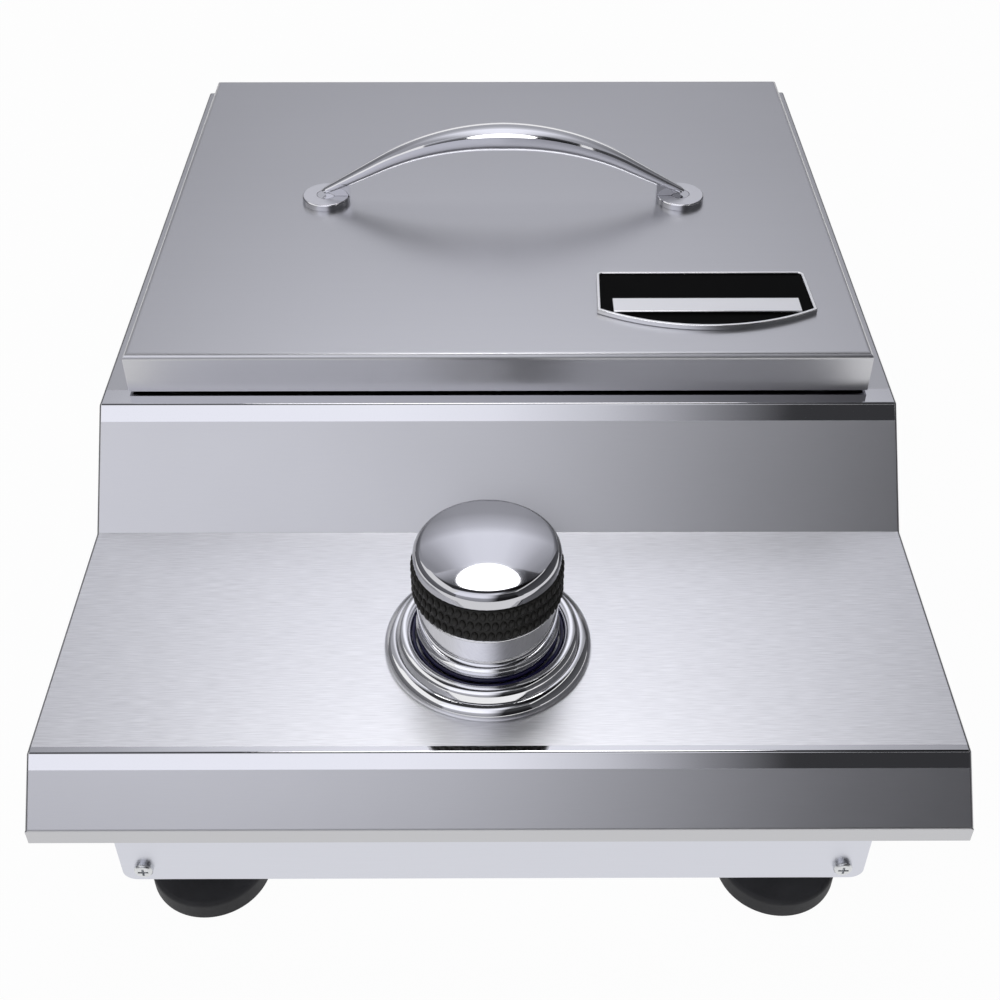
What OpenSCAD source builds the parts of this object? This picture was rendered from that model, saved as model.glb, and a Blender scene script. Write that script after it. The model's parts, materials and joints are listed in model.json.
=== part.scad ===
/* [Hood] */
// Width of the hood over its side walls
hood_w = 330; // [300:1:400]
// Depth of the hood from the lip to the rear wall
hood_d = 469; // [440:1:560]
// Height of the hood's lower edge over the ground
hood_base_z = 79.9; // [75:0.1:110]
// Thickness of the hood, lid and chassis sheet
sheet = 1.2; // [0.8:0.1:2]
// Height of the upright front lip
lip_h = 6.7; // [4:0.1:15]
// Drop of the sloping front face, which leans at 45 degrees
face_drop = 19; // [12:0.5:30]
// Depth of the flat control shelf
shelf_d = 114; // [100:1:140]
// Rise of the sloping riser behind the shelf, which leans at 45 degrees
riser_rise = 37.8; // [30:0.1:45]
// Width of the inward flange that rests on the counter
counter_flange_w = 13; // [8:0.5:14]
// Outer radius of the long bends of the hood
hood_bend_r = 1.8; // [1.3:0.1:4]

/* [Lid] */
// Width of the lid
lid_w = 308; // [290:1:312]
// Depth of the lid
lid_d = 263.3; // [255:0.1:270]
// Height of the lid from the bottom of its skirt to its top
lid_h = 18; // [17:0.5:30]
// Distance from the deck's front edge to the lid
lid_front_margin = 7.2; // [4:0.1:12]
// Radius of the bend round the lid's top
lid_bend_r = 2.4; // [1.4:0.1:4]
// Height of the rubber bumpers that carry the lid
bumper_h = 1.2; // [0.8:0.1:3]
// Length of a bumper
bumper_l = 20; // [10:1:40]
// Width of a bumper
bumper_w = 6.9; // [4:0.1:9]
// Distance from the lid's front or rear face to a bumper's middle
bumper_margin = 41.65; // [20:0.05:70]

/* [Handle] */
// Distance between the centres of the two handle bases
handle_span = 168.7; // [140:0.1:180]
// Place of the handle to the right of the hood's middle line
handle_x = 2.7; // [-5:0.1:5]
// Place of the handle in front of the lid's middle
handle_forward = 2.3; // [0:0.1:10]
// Height of the bar's side edges over the lid at the two bases
handle_end_z = 6.5; // [6:0.1:9]
// Radius of the middle stretch of the arch
arch_r = 121; // [110:1:130]
// Half length of the arch's curved stretch
arch_half_l = 59.2; // [50:0.1:62]
// Width of the bar at mid span
bar_w = 15.4; // [12:0.1:20]
// Width of the bar at its ends
bar_end_w = 4.4; // [3:0.1:6]
// Depth of the bar's rounded belly at mid span
bar_belly = 9.3; // [6:0.1:12]
// Depth of the belly at the ends
bar_end_belly = 2.9; // [2:0.1:4]
// Height of the bar's crowned top at mid span
bar_crown = 1.4; // [0.8:0.1:3]
// Radius of a handle base
base_r = 11.4; // [10:0.1:14]
// Height of a handle base
base_h = 3.1; // [2.8:0.1:6]
// Thickness of the web under each end of the bar
web_t = 3.6; // [3:0.1:5]

/* [Badge] */
// Width of the badge plate
badge_w = 94.4; // [80:0.1:100]
// Place of the badge's middle to the right of the hood's middle line
badge_x = 88.9; // [80:0.1:95]
// Distance from the lid's front edge to the badge's straight rear edge
badge_rear = 60.8; // [55:0.1:80]
// Depth of the badge at its middle
badge_d = 43.1; // [35:0.1:45]
// Depth of the bow of the badge's front edge
badge_bow = 13; // [8:0.5:16]
// Height of the badge frame
badge_h = 2.2; // [2:0.1:4]
// Width of the badge frame's rim
badge_rim = 1.5; // [1.2:0.1:3]
// Height of the dark badge face
badge_face_h = 1.4; // [1:0.1:1.9]
// Width of the plain polished bar on the badge
badge_bar_w = 80; // [60:1:80]
// Depth of the plain polished bar
badge_bar_d = 10.5; // [6:0.5:12]
// Height of the plain polished bar over the dark face
badge_bar_h = 1.2; // [0.8:0.1:2]

/* [Knob and bezel] */
// Place of the knob's axis to the right of the hood's middle line
control_x = -4.2; // [-10:0.1:10]
// Distance from the shelf's front edge to the knob's axis
control_back = 52.3; // [50:0.1:58]
// Outer radius of the bezel
bezel_r = 38.8; // [36:0.1:42]
// Height of the bezel's inner bead
bezel_h = 9.2; // [8:0.1:12]
// Height of the dark ring in the bezel's opening
ring_h = 7.2; // [4:0.1:8]
// Wall of the dark ring
ring_wall = 1.3; // [1:0.1:3]
// Gap between the knob's skirt and the dark ring
ring_gap = 0.5; // [0.4:0.1:1.5]
// Outer radius of the knob's skirt
knob_skirt_r = 26.6; // [26:0.1:27]
// Height of the skirt's lower edge over the shelf
knob_skirt_z = 6.6; // [4.5:0.1:8]
// Height of the knob's neck groove over the shelf
knob_neck_z = 13.2; // [11:0.1:16]
// Height of the grip ring's lower edge over the shelf
grip_z = 28.8; // [26:0.1:31]
// Height of the grip ring
grip_h = 14.7; // [12:0.1:18]
// Radius of the grip ring at the bottom of its knurls
grip_r = 26.8; // [26.5:0.1:28]
// Height of a knurl
knurl_h = 0.9; // [0.5:0.1:1.5]
// Number of knurls in one turn
knurl_count = 58; // [24:2:60]
// Rows of knurls
knurl_rows = 3; // [3:2:7]
// Radius of the knob's cap
cap_r = 26.6; // [26:0.1:28]
// Height of the knob's cap
cap_h = 10; // [9:0.1:13]
// Travel of the knob when it is pushed
knob_travel = 3; // [2:0.1:4]
// Radius of the valve's stem
stem_r = 4; // [3:0.1:5]

/* [Chassis] */
// Distance from the hood's outer face in to the chassis, all round
chassis_margin = 22; // [20:0.5:26]
// Place of the chassis to the right of the hood's middle line
chassis_x = -2.3; // [-5:0.1:5]
// Height of the chassis floor's underside over the ground
floor_z = 25; // [20:0.5:35]
// Outer radius of the chassis's lower corners
chassis_corner_r = 5; // [3:0.5:8]
// Width of the chassis's upper flanges
upper_flange_w = 11; // [8:0.5:12]
// Width of the chassis's front flanges
front_flange_w = 18; // [14:0.5:24]
// Length of a vent slot
vent_l = 34; // [20:1:40]
// Width of a vent slot
vent_w = 5; // [4.2:0.1:8]

/* [Feet] */
// Radius of a foot pad
foot_r = 24; // [18:0.5:27]
// Height of a foot pad
foot_h = 9.5; // [8:0.5:14]
// Distance from the chassis's side to a foot's middle
foot_margin_x = 27.6; // [26:0.1:40]
// Distance from the chassis's front or rear face to a foot's middle
foot_margin_y = 22.6; // [22:0.1:40]
// Radius of a foot stud
stud_r = 4; // [3:0.1:5]

/* [Burner] */
// Distance from the hood's side in to the deck opening
opening_margin = 33; // [30:0.5:45]
// Depth of the deck opening
opening_d = 216; // [200:1:225]
// Corner radius of the deck opening
opening_r = 16; // [10:1:30]
// Depth of the bowl under the deck
bowl_depth = 32; // [28:1:34]
// Width of the bowl's flange on the deck
bowl_flange_w = 10; // [8:0.5:11]
// Radius of the burner head
head_r = 42; // [35:1:48]
// Height of the burner head
head_h = 16; // [12:0.5:18]
// Number of burner ports
port_count = 24; // [12:2:36]
// Outer radius of the burner tube
tube_r = 15; // [13:0.5:17]
// Radius of the tube's narrow neck
neck_r = 11.5; // [10:0.5:12.5]
// Wall of the burner tube
tube_wall = 2.5; // [2:0.1:3]
// Height of the tube's axis over the ground
tube_z = 70; // [66:0.5:74]
// Radius of a grate rod
rod_r = 3; // [2.5:0.1:3.2]
// Number of grate bars
bar_count = 9; // [5:2:9]

/* [Gas parts] */
// Radius of the valve's barrel
valve_r = 13; // [11.5:0.5:14]
// Radius of the gas pipe
pipe_r = 5; // [4:0.1:6]
// Place of the gas inlet to the right of the hood's middle line
inlet_x = 92; // [80:1:95]
// Height of the gas inlet's axis over the ground
inlet_z = 56; // [54:0.5:58]
// Outer radius of the inlet's thread
inlet_thread_r = 7.94; // [6:0.01:9]

/* [Hidden] */

$fn = 72;
// Overrun of every cut past the faces that it opens
cut = 1;
// Gap between faces that are bolted or laid together
seat_gap = 0.05;
// Radial clearance of turning and sliding fits
running = 0.05;
// Gap round a piece that sits loosely in another
loose = 0.3;
// Radial clearance of a screw in a plain hole
screw_gap = 0.2;

// Heights of the hood's flats and places of its bends
lip_top_z = hood_base_z + lip_h;
shelf_z = lip_top_z + face_drop;
deck_z = shelf_z + riser_rise;
lip_y = -hood_d / 2;
shelf_front_y = lip_y + face_drop;
riser_foot_y = shelf_front_y + shelf_d;
deck_front_y = riser_foot_y + riser_rise;
hood_rear_y = hood_d / 2;
shelf_under_z = shelf_z - sheet;
deck_under_z = deck_z - sheet;

// Middle of the lid, which the deck opening and the burner share
lid_front_y = deck_front_y + lid_front_margin;
lid_y = lid_front_y + lid_d / 2;
lid_base_z = deck_z + bumper_h;
lid_top_z = lid_base_z + lid_h;

// Step from the lid's side in to its bumpers
bumper_inset = 0.3;

// Chassis size and faces
chassis_w = hood_w - 2 * chassis_margin;
chassis_d = hood_d - 2 * chassis_margin;
chassis_front_y = -chassis_d / 2;
chassis_rear_y = chassis_d / 2;
floor_top_z = floor_z + sheet;

// Deck opening
opening_w = hood_w - 2 * opening_margin;

// Knob axis, with the ring and the bezel round the knob's skirt
control_y = shelf_front_y + control_back;
ring_bore_r = knob_skirt_r + ring_gap;
bezel_bore_r = ring_bore_r + ring_wall;
shelf_hole_r = 20;
bezel_screw_ring_r = 34.3;

// Bowl and burner
bowl_t = 1;
bowl_gap = 1.5;
bowl_bottom_z = deck_z - bowl_depth;
bowl_floor_z = bowl_bottom_z + bowl_t;
bowl_top_z = deck_z + seat_gap + bowl_t;
head_gap = 3;
throat_r = 19;
port_w = 2.2;
port_h = 4;
head_z = bowl_floor_z + head_gap;
head_wall = 3;
head_floor = 4;
cap_disc_h = 3.2;
cap_crown_h = 2.4;
cap_skirt_h = 3;
cap_lip = 1.5;

// Tube of the burner
shutter_zone_l = 30;
contraction_l = 24;
diffuser_l = 62;
mouth_gap = 21;
mouth_y = control_y + valve_r + mouth_gap;
tube_end_y = lid_y;
boss_r = 9;
boss_h = 4;
boss_bottom_z = tube_z - tube_r - boss_h;
m5_r = 2.5;
m4_r = 2;

// Sleeve that sets the burner's air
shutter_wall = 1.2;
shutter_l = 24;
window_l = 13;
window_w = 15;
collar_l = 2.5;
collar_r = tube_r + shutter_wall;
shutter_y = mouth_y + shutter_zone_l - collar_l - shutter_l;
tab_l = 9;
tab_w = 8;

// Valve
valve_flange_t = 4;
bracket_t = 1.5;
valve_neck_h = 10;
valve_neck_gap = 5;
bracket_plate_z = shelf_under_z - seat_gap - valve_neck_gap - valve_neck_h;
bracket_w = 68;
bracket_d = 36;
bracket_foot_w = 11;
valve_top_z = bracket_plate_z - seat_gap;
valve_base_over = 6;
valve_base_z = inlet_z - pipe_r - valve_base_over;
valve_neck_r = 8;
valve_boss_r = 8;
plug_r = 9;
plug_h = 22;
plug_top_z = valve_top_z - valve_flange_t;
plug_z = plug_top_z - plug_h;
stem_socket_t = 1.5;
stem_end_gap = 1;
stem_z = plug_z + stem_socket_t + knob_travel + stem_end_gap;
stem_top_over_shelf = 34;
stem_flat_share = 0.7;
valve_screw_x = 17;
spud_l = 13;
spud_nose_l = 6;
spud_hex_r = 7;
spud_nose_r = 5;
spud_bore_r = 1.2;
valve_boss_l = 9;

// Pipe and inlet
pipe_bend_r = 20;
pipe_wall = 1;
socket_l = 7;
inlet_boss_l = 9;
nut_l = 9;
nut_r = 9.5;
fitting_flange_r = 12;
fitting_flange_l = 4;
fitting_inner_l = 12;
inlet_shank_r = inlet_thread_r + screw_gap + screw_gap;
thread_l = 11;
flare_l = 3;
flare_tip_r = 5.2;
gas_bore_r = 3.2;
locknut_r = 12.5;
locknut_l = 4.5;

// Igniter
electrode_r = 3.2;
electrode_collar_r = 4.6;
electrode_collar_h = 3;
electrode_gap = 4.5;
electrode_over_floor = 13;
electrode_under_floor = 24;
electrode_angle = 145;
pin_r = 0.9;
pin_over = 6;
clip_w = 24;
clip_d = 14;

// Screw heads
m4_head_r = 3.65;
m4_head_h = 2.4;
m5_head_r = 4.6;
m5_head_h = 2.8;
recess_l = 4;
recess_w = 0.9;
recess_h = 1.3;
panel_screw_margin = 8.8;
panel_screw_over = 8;
panel_screw_l = 7;

// Feet
foot_span_x = chassis_w - 2 * foot_margin_x;
foot_span_y = chassis_d - 2 * foot_margin_y;
pad_edge_r = 2;
pad_pocket_h = 5;
foot_nut_r = 7.5;
foot_nut_h = 6;
stud_over_nut = 2;

// Handle
foot_boss_r = 4.4;
end_l = 2.2;
end_blunt_share = 0.15;
end_step_share = 0.8;
base_edge = 0.5;

// Badge: step in of its rear corners, their radius, and facets of its wide bow
badge_draw = 1.5;
badge_corner_r = 2.8;
badge_bar_back = 22.2;
bow_fn = 288;
taper_power = 1.41;
bar_sides = 20;
bar_steps = 40;

// Points of a corner that is rounded with radius r, from the side of a to the side of c
function unit(v) = v / norm(v);
function turn_side(a, b, c) = sign(cross(b - a, c - b));
function corner_half(a, b, c) = acos(unit(a - b) * unit(c - b)) / 2;
function corner(a, b, c, r, steps) =
    let (half = corner_half(a, b, c),
         reach = r / tan(half),
         from = b + unit(a - b) * reach,
         middle = b + unit(unit(a - b) + unit(c - b)) * r / sin(half),
         start = atan2(from[1] - middle[1], from[0] - middle[0]),
         sweep = turn_side(a, b, c) * (180 - 2 * half))
    [for (i = [0 : steps]) middle + r * [cos(start + sweep * i / steps), sin(start + sweep * i / steps)]];

// A closed outline with the corner at each point rounded by the radius of the same place
function rounded(points, radii, steps) =
    [for (i = [0 : len(points) - 1])
        let (a = points[(i + len(points) - 1) % len(points)],
             b = points[i],
             c = points[(i + 1) % len(points)])
        each (radii[i] > 0 ? corner(a, b, c, radii[i], steps) : [b])];

// A closed outline moved inward by t, drawn clockwise
function inward(points, t) =
    [for (i = [0 : len(points) - 1])
        let (a = points[(i + len(points) - 1) % len(points)],
             b = points[i],
             c = points[(i + 1) % len(points)],
             side_a = unit([(b - a)[1], -(b - a)[0]]),
             side_c = unit([(c - b)[1], -(c - b)[0]]))
        b + (side_a + side_c) * t / (1 + side_a * side_c)];

// Side outline of the hood, clockwise from the lip's lower edge
hood_outline = [[lip_y, hood_base_z], [lip_y, lip_top_z], [shelf_front_y, shelf_z],
    [riser_foot_y, shelf_z], [deck_front_y, deck_z], [hood_rear_y, deck_z],
    [hood_rear_y, hood_base_z]];
bend_steps = 5;
bend_in_r = hood_bend_r - sheet;
outer_bends = [0, hood_bend_r, hood_bend_r, bend_in_r, hood_bend_r, hood_bend_r, 0];
inner_bends = [0, bend_in_r, bend_in_r, hood_bend_r, bend_in_r, bend_in_r, 0];

// Extrudes a side outline across the object, centred on its middle line
module across(w) {
    translate([-w / 2, 0, 0])
        rotate([90, 0, 90])
            linear_extrude(w)
                children();
}

// A rectangle with round corners, centred
module rounded_rect(w, d, r) {
    square([w - 2 * r, d], center = true);
    square([w, d - 2 * r], center = true);
    for (x = [-1, 1], y = [-1, 1])
        translate([x * (w / 2 - r), y * (d / 2 - r)])
            circle(r);
}

// A rectangle that stands on the X axis with its two lower corners rounded
module tray_outline(w, h, r) {
    translate([-w / 2, r])
        square([w, h - r]);
    translate([-w / 2 + r, 0])
        square([w - 2 * r, h - r]);
    for (x = [-1, 1])
        translate([x * (w / 2 - r), r])
            circle(r);
}

// A slot with round ends that runs along X and is cut along Z
module slot(l, w, h) {
    for (x = [-1, 1])
        translate([x * (l - w) / 2, 0, 0])
            cylinder(r = w / 2, h = h);
    translate([-(l - w) / 2, -w / 2, 0])
        cube([l - w, w, h]);
}

// A hexagon nut with its round bore, standing on the XY plane
module hex_nut(r, h, bore_r) {
    difference() {
        cylinder(r = r, h = h, $fn = 6);
        translate([0, 0, -cut])
            cylinder(r = bore_r, h = h + 2 * cut);
    }
}

// A pan-head screw: its head stands on the XY plane and its shank hangs below
module pan_screw(head_r, head_h, shank_r, shank_l) {
    edge = head_h / 2;
    difference() {
        union() {
            cylinder(r = head_r, h = head_h - edge);
            rotate_extrude()
                intersection() {
                    translate([head_r - edge, head_h - edge])
                        circle(edge);
                    square([head_r, head_h]);
                }
            cylinder(r = head_r - edge, h = head_h);
        }
        translate([0, 0, head_h - recess_h])
            for (a = [0, 90])
                rotate(a)
                    translate([-recess_l / 2, -recess_w / 2, 0])
                        cube([recess_l, recess_w, recess_h + cut]);
    }
    translate([0, 0, -shank_l])
        cylinder(r = shank_r, h = shank_l);
}

// A round shaft with one flat along it
module flat_shaft(r, h) {
    intersection() {
        cylinder(r = r, h = h);
        translate([-r, -r, 0])
            cube([r + r * stem_flat_share, 2 * r, h]);
    }
}

// A cylinder about the Z axis between two heights
module cylinder_from(r, z_low, z_high) {
    translate([0, 0, z_low])
        cylinder(r = r, h = z_high - z_low);
}

// Moves children to the four feet
module at_feet() {
    for (x = [-1, 1], y = [-1, 1])
        translate([chassis_x + x * foot_span_x / 2, y * foot_span_y / 2, 0])
            children();
}

// Solid that fills the hood's inner space down to a given gap from its sheet
module under_hood(gap, w) {
    across(w)
        polygon(rounded(inward(hood_outline, sheet + gap), inner_bends, bend_steps));
}

module hood() {
    color("silver")
        difference() {
            across(hood_w)
                polygon(rounded(hood_outline, outer_bends, bend_steps));
            under_hood(0, hood_w - 2 * sheet);
            translate([-hood_w / 2 + counter_flange_w, lip_y + counter_flange_w, hood_base_z - cut])
                cube([hood_w - 2 * counter_flange_w, hood_d - 2 * counter_flange_w, sheet + 2 * cut]);
            translate([0, lid_y, deck_under_z - cut])
                linear_extrude(sheet + 2 * cut)
                    rounded_rect(opening_w, opening_d, opening_r);
            translate([control_x, control_y, shelf_under_z - cut])
                cylinder(r = shelf_hole_r, h = sheet + 2 * cut);
            bezel_screw_holes(shelf_under_z - cut, sheet + 2 * cut, m4_r + screw_gap);
        }
}

// Places of the two screws that hold the bezel from below
module at_bezel_screws() {
    for (a = [90, 270])
        translate([control_x, control_y, 0])
            rotate(a)
                translate([bezel_screw_ring_r, 0, 0])
                    children();
}

module bezel_screw_holes(z, h, r) {
    at_bezel_screws()
        translate([0, 0, z])
            cylinder(r = r, h = h);
}

// Chassis: floor, side walls and rear wall of one folded sheet, with flanges at its top and front
vent_count = 7;
rear_vent_count = 4;
vent_land = 16;
vent_pitch = vent_l + vent_land;
vent_over_floor = 24;
floor_vent_x = 70;
rear_vent_x = -57;

module chassis() {
    inner_w = chassis_w - 2 * sheet;
    color("lightgray")
        difference() {
            intersection() {
                translate([chassis_x, 0, 0])
                    union() {
                        chassis_shell(inner_w);
                        chassis_flanges(inner_w);
                    }
                chassis_envelope();
            }
            chassis_vents();
            at_feet()
                translate([0, 0, floor_z - cut])
                    cylinder(r = stud_r + screw_gap, h = sheet + 2 * cut);
            translate([inlet_x, chassis_rear_y + cut, inlet_z])
                rotate([90, 0, 0])
                    cylinder(r = inlet_shank_r + screw_gap, h = sheet + 2 * cut);
            at_panel_screws()
                translate([0, 0, -2 * sheet - cut])
                    cylinder(r = m4_r + running, h = 2 * sheet + 2 * cut);
        }
}

// Everything below the hood's sheet, from the ground up
module chassis_envelope() {
    under_hood(seat_gap, hood_w - 2 * sheet - 2 * seat_gap);
    translate([-hood_w / 2, chassis_front_y, 0])
        cube([hood_w, chassis_d, lip_top_z - sheet]);
}

module chassis_shell(inner_w) {
    h = deck_z - floor_z;
    translate([0, chassis_front_y + sheet, floor_z])
        difference() {
            rotate([90, 0, 180])
                linear_extrude(chassis_d - sheet)
                    tray_outline(chassis_w, h, chassis_corner_r);
            translate([0, -cut, sheet])
                rotate([90, 0, 180])
                    linear_extrude(chassis_d - 2 * sheet + cut)
                        tray_outline(inner_w, h, chassis_corner_r - sheet);
        }
}

module chassis_flanges(inner_w) {
    for (side = [-1, 1]) {
        // Front flange behind the front panel
        translate([side * (inner_w - front_flange_w) / 2 - front_flange_w / 2,
                chassis_front_y + sheet, floor_top_z + chassis_corner_r])
            cube([front_flange_w, sheet, shelf_z - floor_top_z - chassis_corner_r]);
        // Upper flange under the deck
        translate([side * (chassis_w + upper_flange_w - sheet) / 2 - (upper_flange_w + sheet) / 2,
                deck_front_y + upper_flange_w, deck_under_z - seat_gap - sheet])
            cube([upper_flange_w + sheet, chassis_rear_y - deck_front_y - upper_flange_w, 2 * sheet]);
    }
}

module chassis_vents() {
    vent_z = floor_z + vent_over_floor;
    // Slots along both side walls
    for (i = [0 : vent_count - 1])
        translate([chassis_x - chassis_w / 2 - cut, (i - (vent_count - 1) / 2) * vent_pitch, vent_z])
            rotate([90, 0, 90])
                slot(vent_l, vent_w, chassis_w + 2 * cut);
    // Slots in the rear wall, clear of the gas inlet
    for (i = [0 : rear_vent_count - 1])
        translate([rear_vent_x + (i - (rear_vent_count - 1) / 2) * vent_pitch,
                chassis_rear_y + cut, vent_z])
            rotate([90, 0, 0])
                slot(vent_l, vent_w, sheet + 2 * cut);
    // Two rows of slots in the floor
    for (x = [-1, 1], i = [1 : vent_count - 2])
        translate([chassis_x + x * floor_vent_x, (i - (vent_count - 1) / 2) * vent_pitch,
                floor_z - cut])
            slot(vent_l, vent_w, sheet + 2 * cut);
}

// Places of the panel screws, with Z pointing out of the panel's face
module at_panel_screws() {
    for (x = [-1, 1])
        translate([chassis_x + x * (chassis_w / 2 - panel_screw_margin), chassis_front_y,
                floor_z + panel_screw_over])
            rotate([90, 0, 0])
                children();
}

module front_panel() {
    color("gainsboro")
        difference() {
            translate([chassis_x, chassis_front_y + sheet - seat_gap, floor_z])
                rotate([90, 0, 0])
                    linear_extrude(sheet - seat_gap)
                        tray_outline(chassis_w, shelf_under_z - loose - floor_z, chassis_corner_r);
            at_panel_screws()
                translate([0, 0, -sheet - cut])
                    cylinder(r = m4_r + screw_gap, h = sheet + 2 * cut);
        }
}

module panel_screws() {
    color("silver")
        at_panel_screws()
            pan_screw(m4_head_r, m4_head_h, m4_r, panel_screw_l);
}

module foot_pads() {
    color([0.17, 0.17, 0.17])
        at_feet()
            difference() {
                union() {
                    cylinder(r = foot_r, h = foot_h - pad_edge_r);
                    cylinder(r = foot_r - pad_edge_r, h = foot_h);
                    rotate_extrude()
                        translate([foot_r - pad_edge_r, foot_h - pad_edge_r])
                            intersection() {
                                circle(pad_edge_r);
                                square(pad_edge_r);
                            }
                }
                translate([0, 0, foot_h - pad_pocket_h])
                    cylinder(r = stud_r + running, h = pad_pocket_h + cut);
            }
}

module foot_studs() {
    base_z = foot_h - pad_pocket_h;
    top_z = floor_top_z + seat_gap + foot_nut_h + stud_over_nut;
    color("gray")
        at_feet()
            translate([0, 0, base_z])
                cylinder(r = stud_r, h = top_z - base_z);
}

module foot_nuts() {
    color("darkgray")
        at_feet() {
            translate([0, 0, floor_z - seat_gap - foot_nut_h])
                hex_nut(foot_nut_r, foot_nut_h, stud_r + running);
            translate([0, 0, floor_top_z + seat_gap])
                hex_nut(foot_nut_r, foot_nut_h, stud_r + running);
        }
}

module burner_bowl() {
    outer_w = opening_w - 2 * bowl_gap;
    outer_d = opening_d - 2 * bowl_gap;
    outer_r = opening_r - bowl_gap;
    color("silver")
        translate([0, lid_y, 0])
            difference() {
                union() {
                    translate([0, 0, bowl_bottom_z])
                        linear_extrude(bowl_top_z - bowl_bottom_z)
                            rounded_rect(outer_w, outer_d, outer_r);
                    translate([0, 0, bowl_top_z - bowl_t])
                        linear_extrude(bowl_t)
                            rounded_rect(opening_w + 2 * bowl_flange_w, opening_d + 2 * bowl_flange_w,
                                opening_r + bowl_flange_w);
                }
                translate([0, 0, bowl_floor_z])
                    linear_extrude(bowl_depth + cut)
                        rounded_rect(outer_w - 2 * bowl_t, outer_d - 2 * bowl_t, outer_r - bowl_t);
                translate([control_x, 0, bowl_bottom_z - cut])
                    cylinder(r = throat_r + bowl_gap, h = bowl_t + 2 * cut);
                at_electrode()
                    translate([0, 0, bowl_bottom_z - cut])
                        cylinder(r = electrode_r + loose, h = bowl_t + 2 * cut);
            }
}

// Place of the igniter's electrode, seen from the middle of the lid
module at_electrode() {
    translate([control_x, 0, 0])
        rotate(electrode_angle)
            translate([head_r + electrode_gap + electrode_r, 0, 0])
                children();
}

frame_z = bowl_top_z + seat_gap + rod_r;
frame_half_w = opening_w / 2 + bowl_flange_w / 2;
frame_half_d = opening_d / 2 + bowl_flange_w / 2;
frame_corner_r = 14;

module grate_frame() {
    color("dimgray")
        translate([0, lid_y, frame_z]) {
            for (side = [-1, 1]) {
                translate([side * frame_half_w, frame_half_d - frame_corner_r, 0])
                    rotate([90, 0, 0])
                        cylinder(r = rod_r, h = 2 * (frame_half_d - frame_corner_r));
                translate([frame_corner_r - frame_half_w, side * frame_half_d, 0])
                    rotate([0, 90, 0])
                        cylinder(r = rod_r, h = 2 * (frame_half_w - frame_corner_r));
            }
            for (a = [0, 180], m = [0, 1])
                rotate(a)
                    mirror([m, 0, 0])
                        translate([frame_half_w - frame_corner_r, frame_half_d - frame_corner_r, 0])
                            rotate_extrude(angle = 90)
                                translate([frame_corner_r, 0])
                                    circle(rod_r);
        }
}

module grate_bars() {
    pitch = 2 * (frame_half_w - 2 * frame_corner_r) / (bar_count - 1);
    color("dimgray")
        translate([0, lid_y, frame_z + 2 * rod_r + seat_gap])
            for (i = [0 : bar_count - 1])
                translate([(i - (bar_count - 1) / 2) * pitch, frame_half_d, 0])
                    rotate([90, 0, 0])
                        cylinder(r = rod_r, h = 2 * frame_half_d);
}

// Moves children from the origin to the burner's axis
module at_burner() {
    translate([control_x, lid_y, 0])
        children();
}

// Burner: cast head, throat and tube in one piece
module burner_body() {
    color([0.62, 0.5, 0.3])
        difference() {
            union() {
                at_burner() {
                    cylinder_from(head_r, head_z, head_z + head_h);
                    cylinder_from(throat_r, tube_z, head_z);
                    translate([0, 0, tube_z])
                        sphere(throat_r);
                    cylinder_from(boss_r, boss_bottom_z, tube_z);
                }
                along_tube(tube_r, neck_r, 0);
                translate([control_x, mouth_y + shutter_zone_l - collar_l, tube_z])
                    rotate([-90, 0, 0])
                        cylinder(r = collar_r, h = collar_l);
            }
            along_tube(tube_r - tube_wall, neck_r - tube_wall, cut);
            at_burner() {
                translate([0, 0, tube_z])
                    sphere(throat_r - head_wall);
                cylinder_from(throat_r - head_wall, tube_z, head_z + head_floor + cut);
                cylinder_from(head_r - head_wall, head_z + head_floor, head_z + head_h + cut);
                cylinder_from(m5_r + running, boss_bottom_z - cut, boss_bottom_z + boss_h);
                burner_ports();
            }
            air_windows(tube_r);
        }
}

// The tube's outline turned about its axis: mouth, narrow neck and wider run to the throat
module along_tube(r, narrow_r, extra) {
    run_l = tube_end_y - mouth_y;
    translate([control_x, mouth_y, tube_z])
        rotate([-90, 0, 0])
            rotate_extrude()
                polygon([[0, -extra], [r, -extra], [r, shutter_zone_l],
                    [narrow_r, shutter_zone_l + contraction_l],
                    [r, shutter_zone_l + contraction_l + diffuser_l], [r, run_l], [0, run_l]]);
}

// Ports cut through the head's rim, closed from above by the cap
module burner_ports() {
    for (i = [0 : port_count - 1])
        rotate(i * 360 / port_count)
            translate([head_r - head_wall - cut, -port_w / 2, head_z + head_h - port_h])
                cube([head_wall + 2 * cut, port_w, port_h + cut]);
}

// Two windows on opposite sides of the tube for the air
module air_windows(r) {
    reach = r + 2 * cut;
    translate([control_x - reach, shutter_y + (shutter_l - window_l) / 2, tube_z - window_w / 2])
        cube([2 * reach, window_l, window_w]);
}

module burner_cap() {
    spigot_r = head_r - head_wall - loose;
    color([0.72, 0.6, 0.36])
        at_burner()
            translate([0, 0, head_z + head_h + seat_gap])
                rotate_extrude()
                    polygon([[0, -cap_skirt_h], [spigot_r, -cap_skirt_h], [spigot_r, 0],
                        [head_r + cap_lip, 0], [head_r + cap_lip, cap_disc_h / 2],
                        [head_r - cap_lip, cap_disc_h],
                        for (i = [1 : bend_steps])
                            [(head_r - cap_lip) * cos(90 * i / bend_steps),
                                cap_disc_h + cap_crown_h * sin(90 * i / bend_steps)]]);
}

// Folded strap that carries the burner on the chassis floor
strap_w = 26;
strap_l = 44;
strap_t = 2;
strap_foot_l = 12;

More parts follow.
